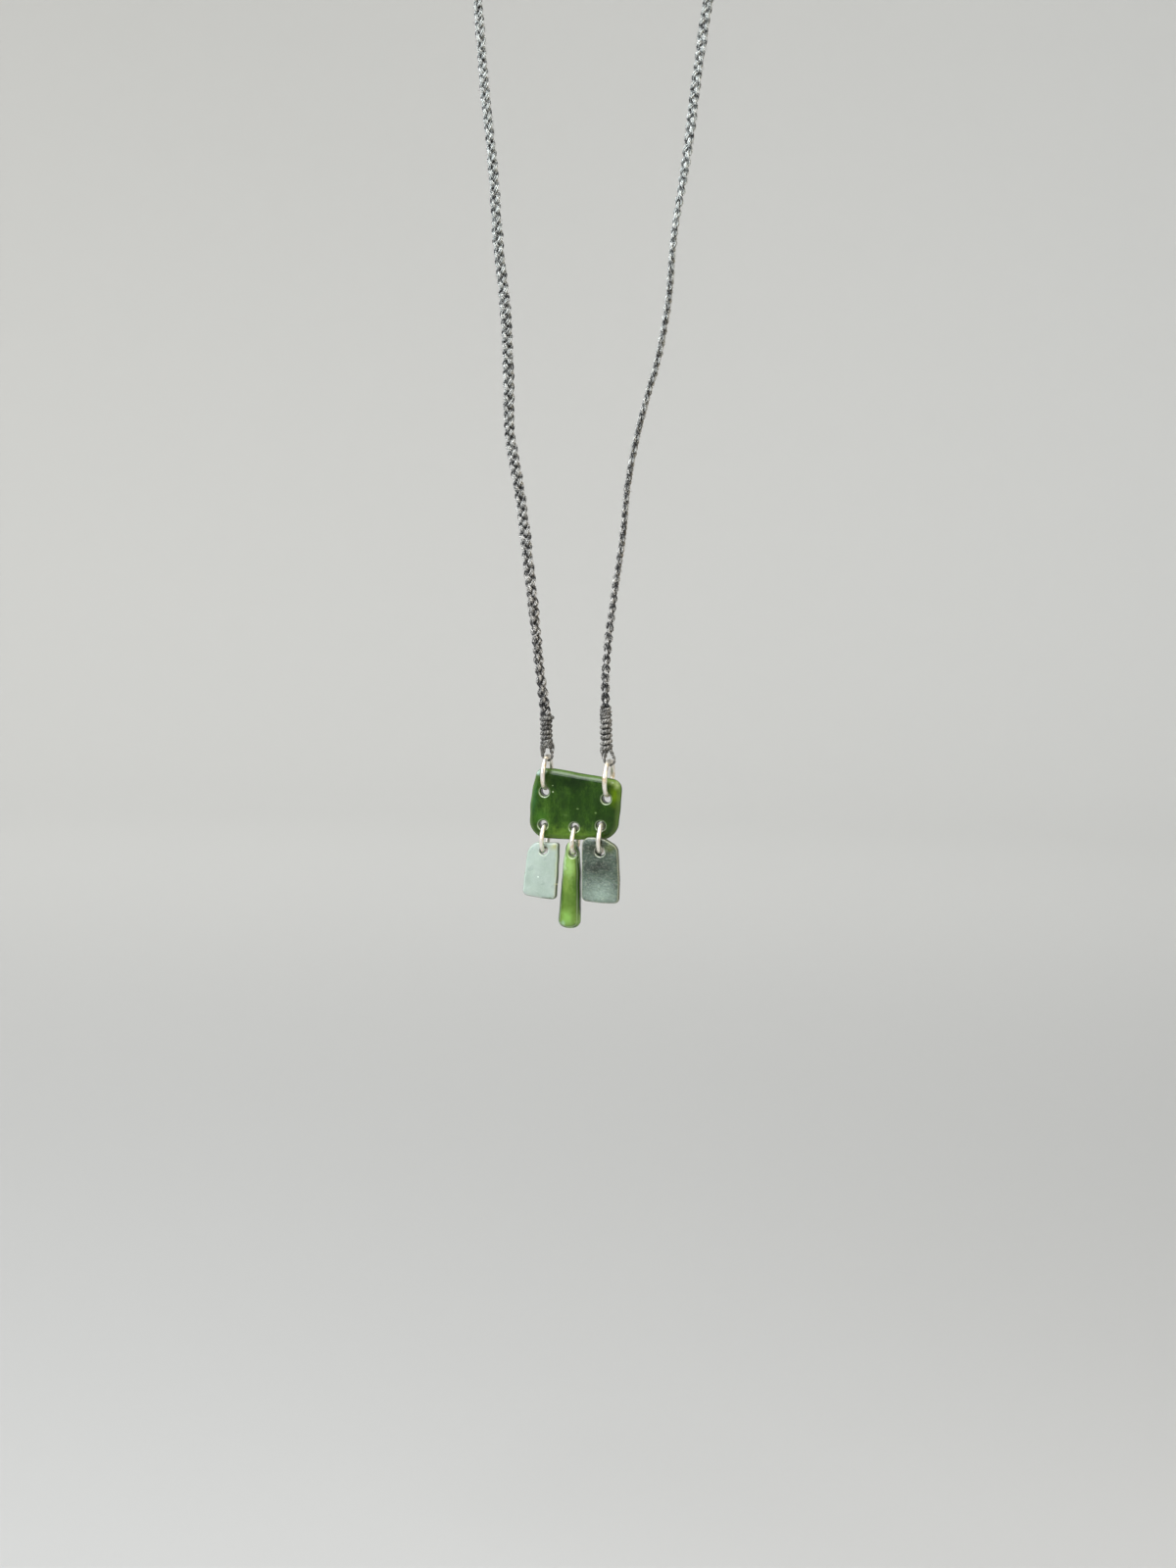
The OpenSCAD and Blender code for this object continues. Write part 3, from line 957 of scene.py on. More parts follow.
@dataclass
class Braid:
    """The neck cord: a flat three-strand braid with four fine yarns in each strand."""

    left: Whipping
    right: Whipping
    width: float = 2.5
    thickness: float = 1.5
    chevron: float = 2.2
    strands: int = 3
    yarns: int = 4
    strand_r: float = 0.5
    yarn_r: float = 0.185
    wind_mm: float = 11.0
    step: float = 0.37
    sides: int = 5
    hairs: int = 2600
    hair_r: float = 0.032
    # Degrees that the flat side turns away at a stretch: distance along, half its length, turn
    turns: tuple[tuple[float, float, float], ...] = (
        (14.0, 17.0, 55.0), (455.0, 62.0, 80.0), (150.0, 40.0, 16.0),
    )
    # Distance along, the share of its full width and depth that it keeps there, and its paleness:
    # painted light, strongest on the upper stretches
    stretches: tuple[tuple[float, float, float], ...] = (
        (0.0, 1.05, 0.0), (60.0, 1.05, 0.06), (95.0, 1.0, 0.08), (135.0, 0.85, 0.2),
        (380.0, 0.9, 0.2), (400.0, 0.96, 0.15), (430.0, 0.96, 0.0), (518.0, 0.96, -0.1),
    )

    def centreline(self) -> tuple[Array, Array]:
        """The route as one smooth curve of evenly spaced points.

        It is a Catmull-Rom curve through the route, which runs on down both whippings.

        Returns:
            The points in the loop's plane, and each one's distance along the cord.
        """
        route = np.array(ROUTE, float)
        p = np.concatenate([[self.left.foot[[0, 2]]], route, [self.right.foot[[0, 2]]]])
        u = np.linspace(0, 1, 24, endpoint=False)[None, :, None]
        a, b, c, d = (p[i : len(p) - 3 + i, None] for i in range(4))
        curve = b + u * (
            (c - a) / 2 + u * ((2 * a - 5 * b + 4 * c - d) / 2 + u * (3 * b - 3 * c + d - a) / 2)
        )
        fine = np.concatenate([curve.reshape(-1, 2), route[-1:]])
        along = distances(fine)
        even = np.linspace(0, along[-1], int(along[-1] / self.step))
        x, z = (np.interp(even, along, fine[:, i]) for i in (0, 1))
        return np.stack([x, np.zeros(len(even)), z], -1), even

    def frames(self, line: Array, along: Array) -> tuple[Array, Array, Array]:
        """The braid's own directions, turned about its centreline where it twists.

        Args:
            line: The centreline's points.
            along: Each one's distance along the cord.

        Returns:
            The ways along, across and through the flat braid at each point.
        """
        ahead = unit(np.gradient(line, axis=0))
        across = np.stack([ahead[:, 2], np.zeros(len(line)), -ahead[:, 0]], -1)
        turn = 9 * waves(along, 70, 5)
        for place, half, degrees in self.turns:
            turn = turn + degrees * np.exp(-(((along - place) / half) ** 4))
        calm = np.clip(np.minimum(along, along[-1] - along) / 3, 0, 1)
        turn = np.radians(turn * calm)[:, None]
        c, s = np.cos(turn), np.sin(turn)
        return ahead, across * c + THROUGH * s, -across * s + THROUGH * c

    def each(self, at: Array, length: float, seed: int) -> Array:
        """A wander of its own for each yarn."""
        return np.stack([waves(at, length, seed + n) for n in range(self.strands * self.yarns)])

    def surface(self) -> Surface:
        """Twelve yarns that braid, four to a strand.

        Strand k runs at phase f = 2 pi s / period + 2 pi k / 3. It is A sin f across and -B sin 2f
        through, which makes it pass over and under the other two. The yarns of a strand wind slowly
        round its middle, flattened across the strand. Their tone is painted light and shade: palest
        where they stand highest, dark in the hollows and near both ends, and paler on the upper
        stretches.

        Returns:
            The yarns.
        """
        line, s = self.centreline()
        ahead, across, through = self.frames(line, s)
        period = self.strands * self.chevron
        wide = self.width / 2 - self.strand_r
        deep = self.thickness / 2 - self.yarn_r - 0.12
        k, j = np.divmod(np.arange(self.strands * self.yarns)[:, None], self.yarns)
        f = TAU * s / period + 0.35 * waves(s, 17, 11) + TAU * k / self.strands
        place, kept, pale = np.array(self.stretches).T
        slim = np.interp(s, place, kept)
        swing = (1 + 0.1 * waves(s, 9, 12)) * wide * slim
        slope = np.arctan(swing * TAU / period * np.cos(f))
        wind = TAU * s / self.wind_mm + TAU * j / self.yarns + 1.3 * k
        spread = (self.strand_r - self.yarn_r) * slim * np.cos(wind)
        drift = self.each(s, 3.4, 40)
        x = swing * np.sin(f) + spread * np.cos(slope) + 0.08 * drift
        y = -deep * slim * np.sin(2 * f) + 0.17 * np.sin(wind) + 0.06 * np.roll(drift, 1, axis=0)
        back = -spread * np.sin(slope)
        lines = line + ahead * back[..., None] + across * x[..., None] + through * y[..., None]
        thick = self.yarn_r * (0.25 + 0.75 * slim) * (1 + 0.1 * self.each(s, 3.1, 60))
        # Tone: painted highlights where the strands stand highest, painted shade in the hollows and
        # near both ends, painted light on the upper stretches, and a random wander for each yarn
        worn = np.abs(np.sin(2 * f)) ** 1.5 - 0.3 * np.abs(np.cos(wind))
        end_shade = 0.22 * np.exp(-np.minimum(s, s[-1] - s) / 12)
        tone = 0.04 + np.interp(s, place, pale) + 0.95 * worn - end_shade + 0.32 * self.each(s, 4.5, 80)
        return tubes(lines, thick, through, self.sides, {"tone": tone})

    def fuzz(self, seed: int) -> Surface:
        """Single fibres that stand off the braid: short curved hairs at seeded places.

        At share q of its length a hair is at root + reach * (q * way + 0.35 * q^2 * curl).

        Args:
            seed: Picks the places and ways.

        Returns:
            The hairs.
        """
        line, s = self.centreline()
        ahead, across, through = self.frames(line, s)
        draw = np.random.default_rng(seed)
        count = self.hairs
        at = draw.integers(4, len(s) - 4, count)
        a = draw.uniform(0, TAU, count)
        side, top = across[at] * np.cos(a)[:, None], through[at] * np.sin(a)[:, None]
        root = line[at] + side * 1.05 + top * 0.62
        lean = draw.normal(0, 1.0, (count, 3))
        ways = ahead[at] * draw.choice([-0.8, 0.8], (count, 1))
        way = unit((side + top) * 0.8 + ways + 0.35 * lean)
        curl = unit(np.cross(way, lean))[:, None]
        q = np.linspace(0, 1, 4)[None, :, None]
        reach = draw.uniform(0.25, 0.75, (count, 1, 1))
        lines = root[:, None] + (way[:, None] * q + curl * 0.35 * q**2) * reach
        return tubes(lines, self.hair_r * (1.1 - 0.7 * q[..., 0]), curl, 3, {"tone": 0.8})

    def build(self, finish: Material) -> tuple[Piece, Piece]:
        """Makes the braid, which stands for the CAD cord, and its fuzz.

        Args:
            finish: The yarn's material.

        Returns:
            The braid, and the fuzz, which stands for no CAD node.
        """
        braid, fuzz = self.surface().made("neck_cord_braid"), self.fuzz(7).made("neck_cord_fuzz")
        dressed(braid, finish, Body.CORD, Slot.BRAID, "neck_cord")
        return braid, dressed(fuzz, finish, Body.CORD, Slot.BRAID)


# The rings


@dataclass
class JumpRing:
    """A round of wire with its two sawn ends a hair apart, at its CAD node's place and size."""

    node: str
    wire: float
    cut_at: float
    seed: int
    cut: float = 0.12
    wobble: float = 0.012
    points: int = 140
    sides: int = 28

    def surface(self) -> Surface:
        """The wire's centreline is a circle in the plane of the CAD ring, less the cut.

        A point at angle a from the lowest point towards the front is (0, -r sin a, -r cos a).

        Returns:
            The wire, a little thinner at its two ends.
        """
        low, high = (np.array(corner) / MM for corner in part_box(self.node))
        mean = (high - low)[1:].max() / 2 - self.wire / 2
        gap = self.cut / mean / 2
        a = np.linspace(gap, TAU - gap, self.points) + math.radians(self.cut_at)
        r = mean + self.wobble * waves(a, 1.6, self.seed)
        line = np.stack([np.zeros_like(a), -r * np.sin(a), -r * np.cos(a)], -1)
        step = np.arange(self.points)
        ends = np.clip(np.minimum(step, step[::-1]) / 2.0, 0, 1)
        thick = self.wire / 2 * (0.93 + 0.07 * np.sqrt(ends))
        ring = tubes(line[None], thick, np.array([1.0, 0, 0]), self.sides, {})
        return ring.placed(turn_y(EYE_LINE_TILT) @ turn_x(PENDANT_SET), (low + high) / 2)

    def build(self, finish: Material) -> Piece:
        """Makes the ring, which stands for its CAD node."""
        piece = self.surface().made(self.node + "_wire")
        return dressed(piece, finish, Body.PENDANT, Slot.METAL, self.node)


# The stones


@dataclass
class Stone:
    """A drilled stone plate with rounded edges, its outline in its own XZ plane.

    rows hold an outline's corners as x, z and the radius that rounds each, counterclockwise.
    """

    node: str
    slot: Slot
    finish: Jade
    rows: tuple[tuple[float, float, float], ...]
    holes: tuple[tuple[float, float], ...]
    bore: float
    thick: float
    inset: float
    depth: float
    lean: float = 0.0
    tip: float = 0.0
    mouth: float = 0.3
    bulge: float = 1.0
    dome: float = 0.12
    ripple: float = 0.02
    wander: float = 0.05
    rim_mm: float = 0.9
    chips: tuple[tuple[float, float, float], ...] = ()
    voxel: float = 0.1
    arc_steps: int = 13
    edge_steps: int = 9
    drill_sides: int = 56

    def outline(self) -> tuple[Array, Array]:
        """One arc for each corner of the table, tangent to both sides of the corner.

        Returns:
            The outline's points and outward directions.
        """
        rows = np.array(self.rows)
        corner, radius = rows[:, :2], rows[:, 2]
        back, ahead = (unit(np.roll(corner, way, 0) - corner) for way in (1, -1))
        half = np.arccos((back * ahead).sum(-1)) / 2
        centre = corner + unit(back + ahead) * (radius / np.sin(half))[:, None]
        first = corner + back * (radius / np.tan(half))[:, None] - centre
        start = np.arctan2(first[:, 1], first[:, 0])
        share = np.linspace(0, 1, self.arc_steps)
        angle = start[:, None] + (math.pi - 2 * half)[:, None] * share
        out = np.stack([np.cos(angle), np.sin(angle)], -1)
        points = centre[:, None] + out * radius[:, None, None]
        return points.reshape(-1, 2), out.reshape(-1, 2)

    def slab(self) -> Surface:
        """The stone before drilling: the outline drawn in at each layer of its rounded edges.

        Layer angle a goes from 90 degrees at a face to 0 at the middle: the outline is drawn in by
        inset * (1 - sin' a) and sits depth * (1 - cos' a) from the face, where sin' and cos' are
        raised to the bulge, so that a bulge above 1 makes the edge a flatter bevel.

        Returns:
            The closed plate, in the stone's own frame.
        """
        points, out = self.outline()
        a = np.linspace(0, math.pi / 2, self.edge_steps)
        draw_in = self.inset * (1 - np.sin(a) ** self.bulge)
        sink = self.depth * (1 - np.cos(a) ** self.bulge)
        layers_in = np.concatenate([draw_in, draw_in[::-1]])
        layers_y = np.concatenate([sink - self.thick / 2, self.thick / 2 - sink[::-1]])
        flat = points[None] - out[None] * layers_in[:, None, None]
        y = np.broadcast_to(layers_y[:, None], flat.shape[:2])
        corners = np.stack([flat[..., 0], y, flat[..., 1]], -1).reshape(-1, 3)
        return Surface(corners, [f[::-1] for f in stack_faces(len(layers_in), len(points))])

    def drill(self, x: float, z: float) -> Surface:
        """The tool that cuts a hole: a cylinder that flares to an eased mouth at each face.

        At depth e inside a mouth of width m its radius is bore / 2 + m * (1 - e / m)^1.3, which is
        nearly a cone of 45 degrees.

        Args:
            x: The hole's place across the stone.
            z: The hole's place up the stone.

        Returns:
            The tool, which stands out on both sides.
        """
        m = self.mouth
        inside = np.linspace(0, m, 7)
        flare = self.bore / 2 + m * (1 - inside / m) ** 1.3
        y = np.concatenate([[-self.thick], -self.thick / 2 + inside - 0.02])
        r = np.concatenate([[flare[0] + 0.02], flare])
        r, y = np.concatenate([r, r[::-1]]), np.concatenate([y, -y[::-1]])
        return lathe(r, y, self.drill_sides).placed(turn_x(90), np.array([x, 0.0, z]))

    def cut(self) -> Piece:
        """Drills the stone and nets it anew.

        Returns:
            The stone as one even net of small faces, in its own frame and millimetres.
        """
        piece = self.slab().made(self.node + "_stone")
        tools = [self.drill(x, z).made("drill") for x, z in self.holes]
        for solid in (piece, *tools):
            solid.data.transform(Matrix.Scale(1 / MM, 4))
        for tool in tools:
            cut = piece.modifiers.new("hole", "BOOLEAN")
            cut.operation, cut.solver, cut.object = "DIFFERENCE", "EXACT", tool
        net = piece.modifiers.new("net", "REMESH")
        net.mode, net.voxel_size, net.use_smooth_shade = "VOXEL", self.voxel, True
        soft = piece.modifiers.new("soft", "SMOOTH")
        soft.factor, soft.iterations = 0.5, 4
        graph = bpy.context.evaluated_depsgraph_get()
        mesh = bpy.data.meshes.new_from_object(piece.evaluated_get(graph))
        piece.modifiers.clear()
        old, piece.data = piece.data, mesh
        mesh.name = piece.name
        for spent in (old, *(tool.data for tool in tools)):
            bpy.data.meshes.remove(spent)
        return piece

    def edge_distance(self, flat: Array) -> Array:
        """The distance to the nearest side of the outline.

        Args:
            flat: Points in the stone's plane.

        Returns:
            How far each lies inside the outline.
        """
        points, _ = self.outline()
        nearest = np.full(len(flat), np.inf)
        for start, end in zip(points, np.roll(points, -1, 0)):
            side = end - start
            share = np.clip((flat - start) @ side / max(float(side @ side), 1e-9), 0, 1)
            away = np.linalg.norm(flat - start - share[:, None] * side, axis=1)
            nearest = np.minimum(nearest, away)
        return nearest

    def worked(self, corners: Array) -> Array:
        """Hand work on the cut stone: a slight dome, ripples of the lap, and chips on the edges.

        The dome lifts each face by dome * (1 - (1 - e)^2), where e is the distance from the edge
        as a share of the stone's half width. The outline wanders in and out by a few hundredths of
        a millimetre, and a chip pushes in what lies within its radius.

        Args:
            corners: The cut stone's corners.

        Returns:
            The worked stone's corners.
        """
        flat = corners[:, [0, 2]]
        x, z = flat.T
        edge = self.edge_distance(flat)
        face = np.clip(np.abs(corners[:, 1]) / (self.thick / 2), 0, 1) ** 6
        lift = self.dome * (1 - (1 - np.clip(edge / (np.ptp(x) / 2), 0, 1)) ** 2)
        ripple = self.ripple * (waves(x + 0.4 * z, 6.0, 3) + waves(z - 0.3 * x, 7.5, 4))
        moved = corners.copy()
        moved[:, 1] += np.sign(corners[:, 1]) * face * (lift + ripple)
        bite = self.wander * waves(x + 1.7 * z, 7.0, 6) * np.clip(1 - edge / 1.2, 0, 1)
        for chip_x, chip_z, size in self.chips:
            away = np.hypot(x - chip_x, z - chip_z)
            bite = bite + 0.5 * size * np.clip(1 - (away / size) ** 2, 0, 1)
        moved[:, [0, 2]] += unit(flat.mean(0) - flat + 1e-9) * bite[:, None]
        return moved

    def build(self) -> Piece:
        """Makes the stone in its CAD node's place: the same turn, and the same box centre.

        Its material reads the place in the stone and four marks: rim along the outline, a painted
        highlight along the face's edge, painted shade on the side walls, and a painted highlight
        round each hole's mouth, strongest below it, where light from above would fall.

        Returns:
            The piece.
        """
        piece = self.cut()
        mesh = piece.data
        corners = np.empty(len(mesh.vertices) * 3, np.float32)
        mesh.vertices.foreach_get("co", corners)
        own = corners.reshape(-1, 3).astype(float)
        pendant = turn_y(EYE_LINE_TILT) @ turn_x(PENDANT_SET)
        turn = pendant @ turn_y(self.lean) @ turn_x(self.tip)
        low, high = (np.array(corner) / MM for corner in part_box(self.node))
        turned = own @ turn.T
        place = (low + high) / 2 - (turned.min(0) + turned.max(0)) / 2
        final = (self.worked(own) @ turn.T + place) * MM
        mesh.vertices.foreach_set("co", final.astype(np.float32).ravel())
        mesh.update()
        inside = self.edge_distance(own[:, [0, 2]])
        from_hole = np.array([(own[:, 0] - x, own[:, 2] - z) for x, z in self.holes])
        ranges = np.hypot(from_hole[:, 0], from_hole[:, 1])
        nearest = ranges.argmin(0)[None]
        away = np.take_along_axis(ranges, nearest, 0)[0]
        below = -np.take_along_axis(from_hole[:, 1], nearest, 0)[0] / away
        off = np.abs(away - self.bore / 2 - 0.75 * self.mouth) / (0.3 * self.mouth)
        ground = np.clip(1.5 - off, 0, 1) * (np.abs(own[:, 1]) > self.thick * 0.3)
        # Marks: rim colour, painted highlight along the face's edge, painted shade on the side
        # walls, and painted highlight round each hole's mouth, strongest below it
        for mark, values in (
            ("stone", own),
            ("rim", np.clip(1 - inside / self.rim_mm, 0, 1) ** 1.2),
            ("wall", np.clip(1.4 - inside / 0.12, 0, 1)),
            ("arris_highlight", np.exp(-(((inside - 0.6 * self.inset) / 0.12) ** 2))),
            ("mouth", ground * (0.42 + 0.58 * np.clip(below, 0, 1))),
        ):
            add_mark(mesh, mark, values)
        return dressed(piece, self.finish.build(), Body.PENDANT, self.slot, self.node)


PLAQUE_JADE = Jade(
    name="polished_spinach_jade",
    cloud=((0.28, "#142b05"), (0.46, "#223f0b"), (0.6, "#365715"), (0.8, "#577a2e")),
    # Rim: the paler thin edge; walls: painted shade; mouth colour: painted highlights round the
    # holes
    rim="#86a758", rim_strength=0.4, wall="#1d3a12", wall_shade=0.6, mouth="#c3d0ae",
    patches=(
        Patch(-0.6, -4.2, 8.0, 3.6, "#0b2302", 0.95),
        Patch(2.5, -9.0, 5.5, 3.0, "#173405", 0.5),
        Patch(9.2, -6.0, 1.9, 4.2, "#5f7f00", 0.9),
        Patch(8.4, -3.4, 2.4, 1.3, "#8aa04a", 0.6),
        Patch(-9.6, -8.0, 1.8, 6.0, "#2f6434", 0.6),
        Patch(-0.5, -16.6, 11.0, 3.4, "#648828", 0.8),
        Patch(-7.5, -12.5, 2.6, 2.6, "#3f7020", 0.5),
        Patch(-4.9, -6.7, 0.24, 0.2, "#cfe0b4", 0.75, 0.2, y=-1.3, deep=0.8),
        Patch(-5.0, -5.3, 0.2, 0.17, "#b4cd96", 0.6, 0.2, y=-1.3, deep=0.8),
        Patch(0.9, -10.0, 0.5, 0.22, "#9ab873", 0.45, y=-1.3, deep=0.8),
        Patch(5.0, -10.6, 0.36, 0.3, "#9ab873", 0.45, y=-1.3, deep=0.8),
        Patch(-1.9, -11.6, 0.9, 0.5, "#547533", 0.5),
        # Painted highlights at the top-left corner and along the top-right edge
        Patch(-8.6, -2.6, 1.3, 1.1, "#c0d6d0", 0.7, over_rim=True),
        Patch(9.4, -4.0, 1.0, 1.6, "#b5c38c", 0.5, over_rim=True),
    ),
    cloud_mm=3.2, streak=2.8, fibre_mm=0.36, fibre=0.34, roughness=0.2, specular=0.23,
    grit_mm=0.3, grit_height_mm=0.006, scratch=0.006,
)

LEFT_JADE = Jade(
    name="satin_pale_jade",
    cloud=((0.3, "#88998a"), (0.5, "#94a597"), (0.7, "#a3b1a4")),
    # Rim: a painted highlight round the edge; walls: painted shade; mouth colour: painted
    # highlights round the hole
    rim="#e4eee8", rim_strength=0.7, wall="#4d6036", wall_shade=0.95, mouth="#e2ece0",
    patches=(
        Patch(2.6, 1.2, 1.7, 1.7, "#97994a", 0.75),
        Patch(3.4, -5.0, 0.7, 10.0, "#869a5c", 0.7),
        Patch(-0.9, -5.9, 0.24, 0.2, "#f4fff4", 0.9, 0.2, y=-1.2, deep=0.8),
        # Painted shade on the bottom bevel
        Patch(1.2, -10.75, 2.8, 0.55, "#47602f", 0.9, 0.3, over_rim=True),
        Patch(3.3, -7.3, 0.3, 0.3, "#f0ecb4", 0.8, over_rim=True),
    ),
    cloud_mm=2.6, streak=1.2, fibre_mm=0.3, fibre=0.2, roughness=0.32,
    grit_mm=0.33, grit_height_mm=0.032, scratch=0.01,
)

BAR_JADE = Jade(
    name="polished_apple_jade",
    cloud=((0.28, "#486a19"), (0.5, "#648430"), (0.72, "#809f48")),
    # Rim: painted shade on the bevels; walls: painted shade; mouth colour: painted highlights round
    # the hole and along the face's edge
    rim="#2c4d0c", rim_strength=1.3, wall="#1f3c06", wall_shade=1.0, mouth="#d3e3bd",
    patches=(
        Patch(-0.3, 1.4, 1.4, 1.9, "#b0cc84", 0.8),
        Patch(-0.5, -2.8, 1.6, 4.4, "#98bf6c", 0.85),
        Patch(-0.9, -14.3, 2.0, 3.0, "#88b656", 0.8),
        Patch(-0.9, -16.9, 2.4, 0.6, "#b3d58a", 0.8),
        Patch(0.9, -8.4, 1.1, 6.0, "#365c10", 0.75),
        Patch(-2.1, -10.6, 1.1, 3.4, "#4c6c1a", 0.6),
        Patch(-0.4, -10.4, 2.4, 2.8, "#46661a", 0.45),
        Patch(-1.8, -15.6, 0.7, 0.9, "#b9dcc4", 0.4),
        # Painted shade on the left bevel, then painted highlights along the top, the left and right
        # edges and the bottom
        Patch(-2.5, -9.2, 0.8, 4.6, "#35590c", 0.9, over_rim=True),
        Patch(-0.3, 2.3, 2.3, 1.5, "#d3e4b6", 0.85, over_rim=True),
        Patch(-2.0, -1.6, 1.0, 4.2, "#c2e2ac", 0.8, over_rim=True),
        Patch(1.4, -0.6, 0.55, 2.6, "#a9c886", 0.6, over_rim=True),
        Patch(1.6, -15.2, 1.0, 3.6, "#8db45e", 0.75, over_rim=True),
        Patch(-0.8, -17.1, 2.9, 0.8, "#a9cf80", 0.75, over_rim=True),
        Patch(-2.9, -15.9, 0.5, 0.8, "#bfe0d0", 0.5, over_rim=True),
    ),
    cloud_mm=4.5, streak=3.0, fibre=0.22, roughness=0.18, specular=0.4,
    coat=0.1, arris_highlight=0.25, sink=0.2,
)

RIGHT_JADE = Jade(
    name="worn_pebbled_jade",
    cloud=((0.25, "#303e33"), (0.5, "#455548"), (0.75, "#5c6e60")),
    # Rim: a painted highlight along the edges; walls: painted shade; mouth colour: painted
    # highlights round the hole
    rim="#cdd1b4", rim_strength=0.75, wall="#2c3a1e", mouth="#cfd6c2",
    patches=(
        Patch(-0.6, 0.6, 4.8, 2.8, "#1f2b0e", 0.92),
        Patch(2.3, 1.0, 2.2, 2.0, "#4c5a1c", 0.85),
        Patch(-0.5, -3.4, 4.8, 1.9, "#1d271e", 0.85),
        # A painted reflection, paler low on the face, so that with the dark patches above it the
        # face runs from dark at the top to pale at the bottom
        Patch(0.0, -9.8, 6.5, 5.6, "#93a799", 0.85),
    ),
    cloud_mm=2.6, streak=0.7, fibre_mm=0.45, fibre=0.25, roughness=0.24, specular=0.4,
    coat=0.15, grit_mm=0.22, grit_height_mm=0.02,
    # The pebbles' relief also tints the colour with painted light and shade
    pebble_mm=0.46, pebble_height_mm=0.17, pebble_painted_shading=0.7,
)

# The plaque and its three drops, with the sizes that their CAD nodes have
STONES = (
    Stone(
        "plaque", Slot.PLAQUE, PLAQUE_JADE,
        rows=(
            (-8.9, -1.75, 1.9), (-9.9, -6.5, 14), (-10.25, -10, 14), (-10.1, -17.35, 3.8),
            (-1.5, -17.2, 30), (9.9, -16.4, 4.4), (10.35, -7, 20), (10.3, -3.1, 2.2),
            (-5.2, -1.65, 7),
        ),
        holes=((-6.85, -6.82), (7.2, -7.33), (-6.85, -14.2), (0.3, -14.2), (6.25, -13.4)),
        bore=1.9, thick=2.6, inset=1.1, depth=1.1,
        bulge=1.5, mouth=0.36, rim_mm=1.1, voxel=0.096,
    ),
    Stone(
        "drop_left", Slot.LEFT, LEFT_JADE,
        rows=(
            (-3.6, 1.8, 2.9), (-4.1, -4, 20), (-4.45, -10.0, 1.3), (0, -10.5, 20),
            (3.2, -10.7, 1), (3.3, -4, 20), (3.2, 2.0, 0.7),
        ),
        holes=((0, 0),),
        bore=1.8, thick=2.4, inset=0.6, depth=0.7, lean=-1.7, tip=-9,
        rim_mm=0.6, chips=((3.35, -7.3, 0.18),), voxel=0.075,
    ),
    Stone(
        "drop_middle", Slot.BAR, BAR_JADE,
        rows=(
            (-1.7, 1.9, 2), (-2.3, -2, 14), (-3.3, -16.3, 1.6), (-0.7, -17.1, 4),
            (1.7, -16.2, 1.5), (1.55, -4, 20), (1.1, 1.0, 5), (-0.25, 3.2, 1),
        ),
        holes=((0, 0),),
        bore=1.7, thick=2.9, inset=0.75, depth=0.9, lean=-1.7,
        bulge=1.5, dome=0.35, rim_mm=0.7, voxel=0.075,
    ),
    Stone(
        "drop_right", Slot.RIGHT, RIGHT_JADE,
        rows=(
            (-4.2, 3.05, 1.9), (-4.35, -11.5, 1.2), (0.5, -11.8, 30), (4.1, -11.6, 1.1),
            (4.35, -7, 50), (3.95, 1.2, 2.2), (0.6, 3.05, 4),
        ),
        holes=((0, 0),),
        bore=1.96, thick=1.8, inset=0.75, depth=0.75, lean=-1.7, tip=5,
        dome=0.08, ripple=0.03, wander=0.03, rim_mm=0.4, voxel=0.075,
    ),
)

# The five jump rings; the cut's angle runs from a ring's lowest point to the front
RINGS = (
    JumpRing("ring_upper_left", 1.06, 150, seed=21),
    JumpRing("ring_upper_right", 1.06, 42, seed=22),
    JumpRing("ring_lower_left", 1.0, 200, seed=23),
    JumpRing("ring_lower_middle", 1.0, 200, seed=24),
    JumpRing("ring_lower_right", 1.0, 200, seed=25),
)


# The studio


def look_matrix(at: Array, way: Array, roll: float) -> Matrix:
    """The place and turn of a camera or light that looks along way.

    Args:
        at: Where it is, in metres.
        way: The unit direction that it looks along.
        roll: Degrees by which straight up leans to the right in its picture.

    Returns:
        Its 4 by 4 matrix.
    """
    level = unit(np.cross(way, UP))
    up = np.cross(level, way)
    c, s = math.cos(math.radians(roll)), math.sin(math.radians(roll))
    matrix = np.eye(4)
    matrix[:3] = np.stack([level * c + up * s, up * c - level * s, -way, at], -1)
    return Matrix(matrix.tolist())


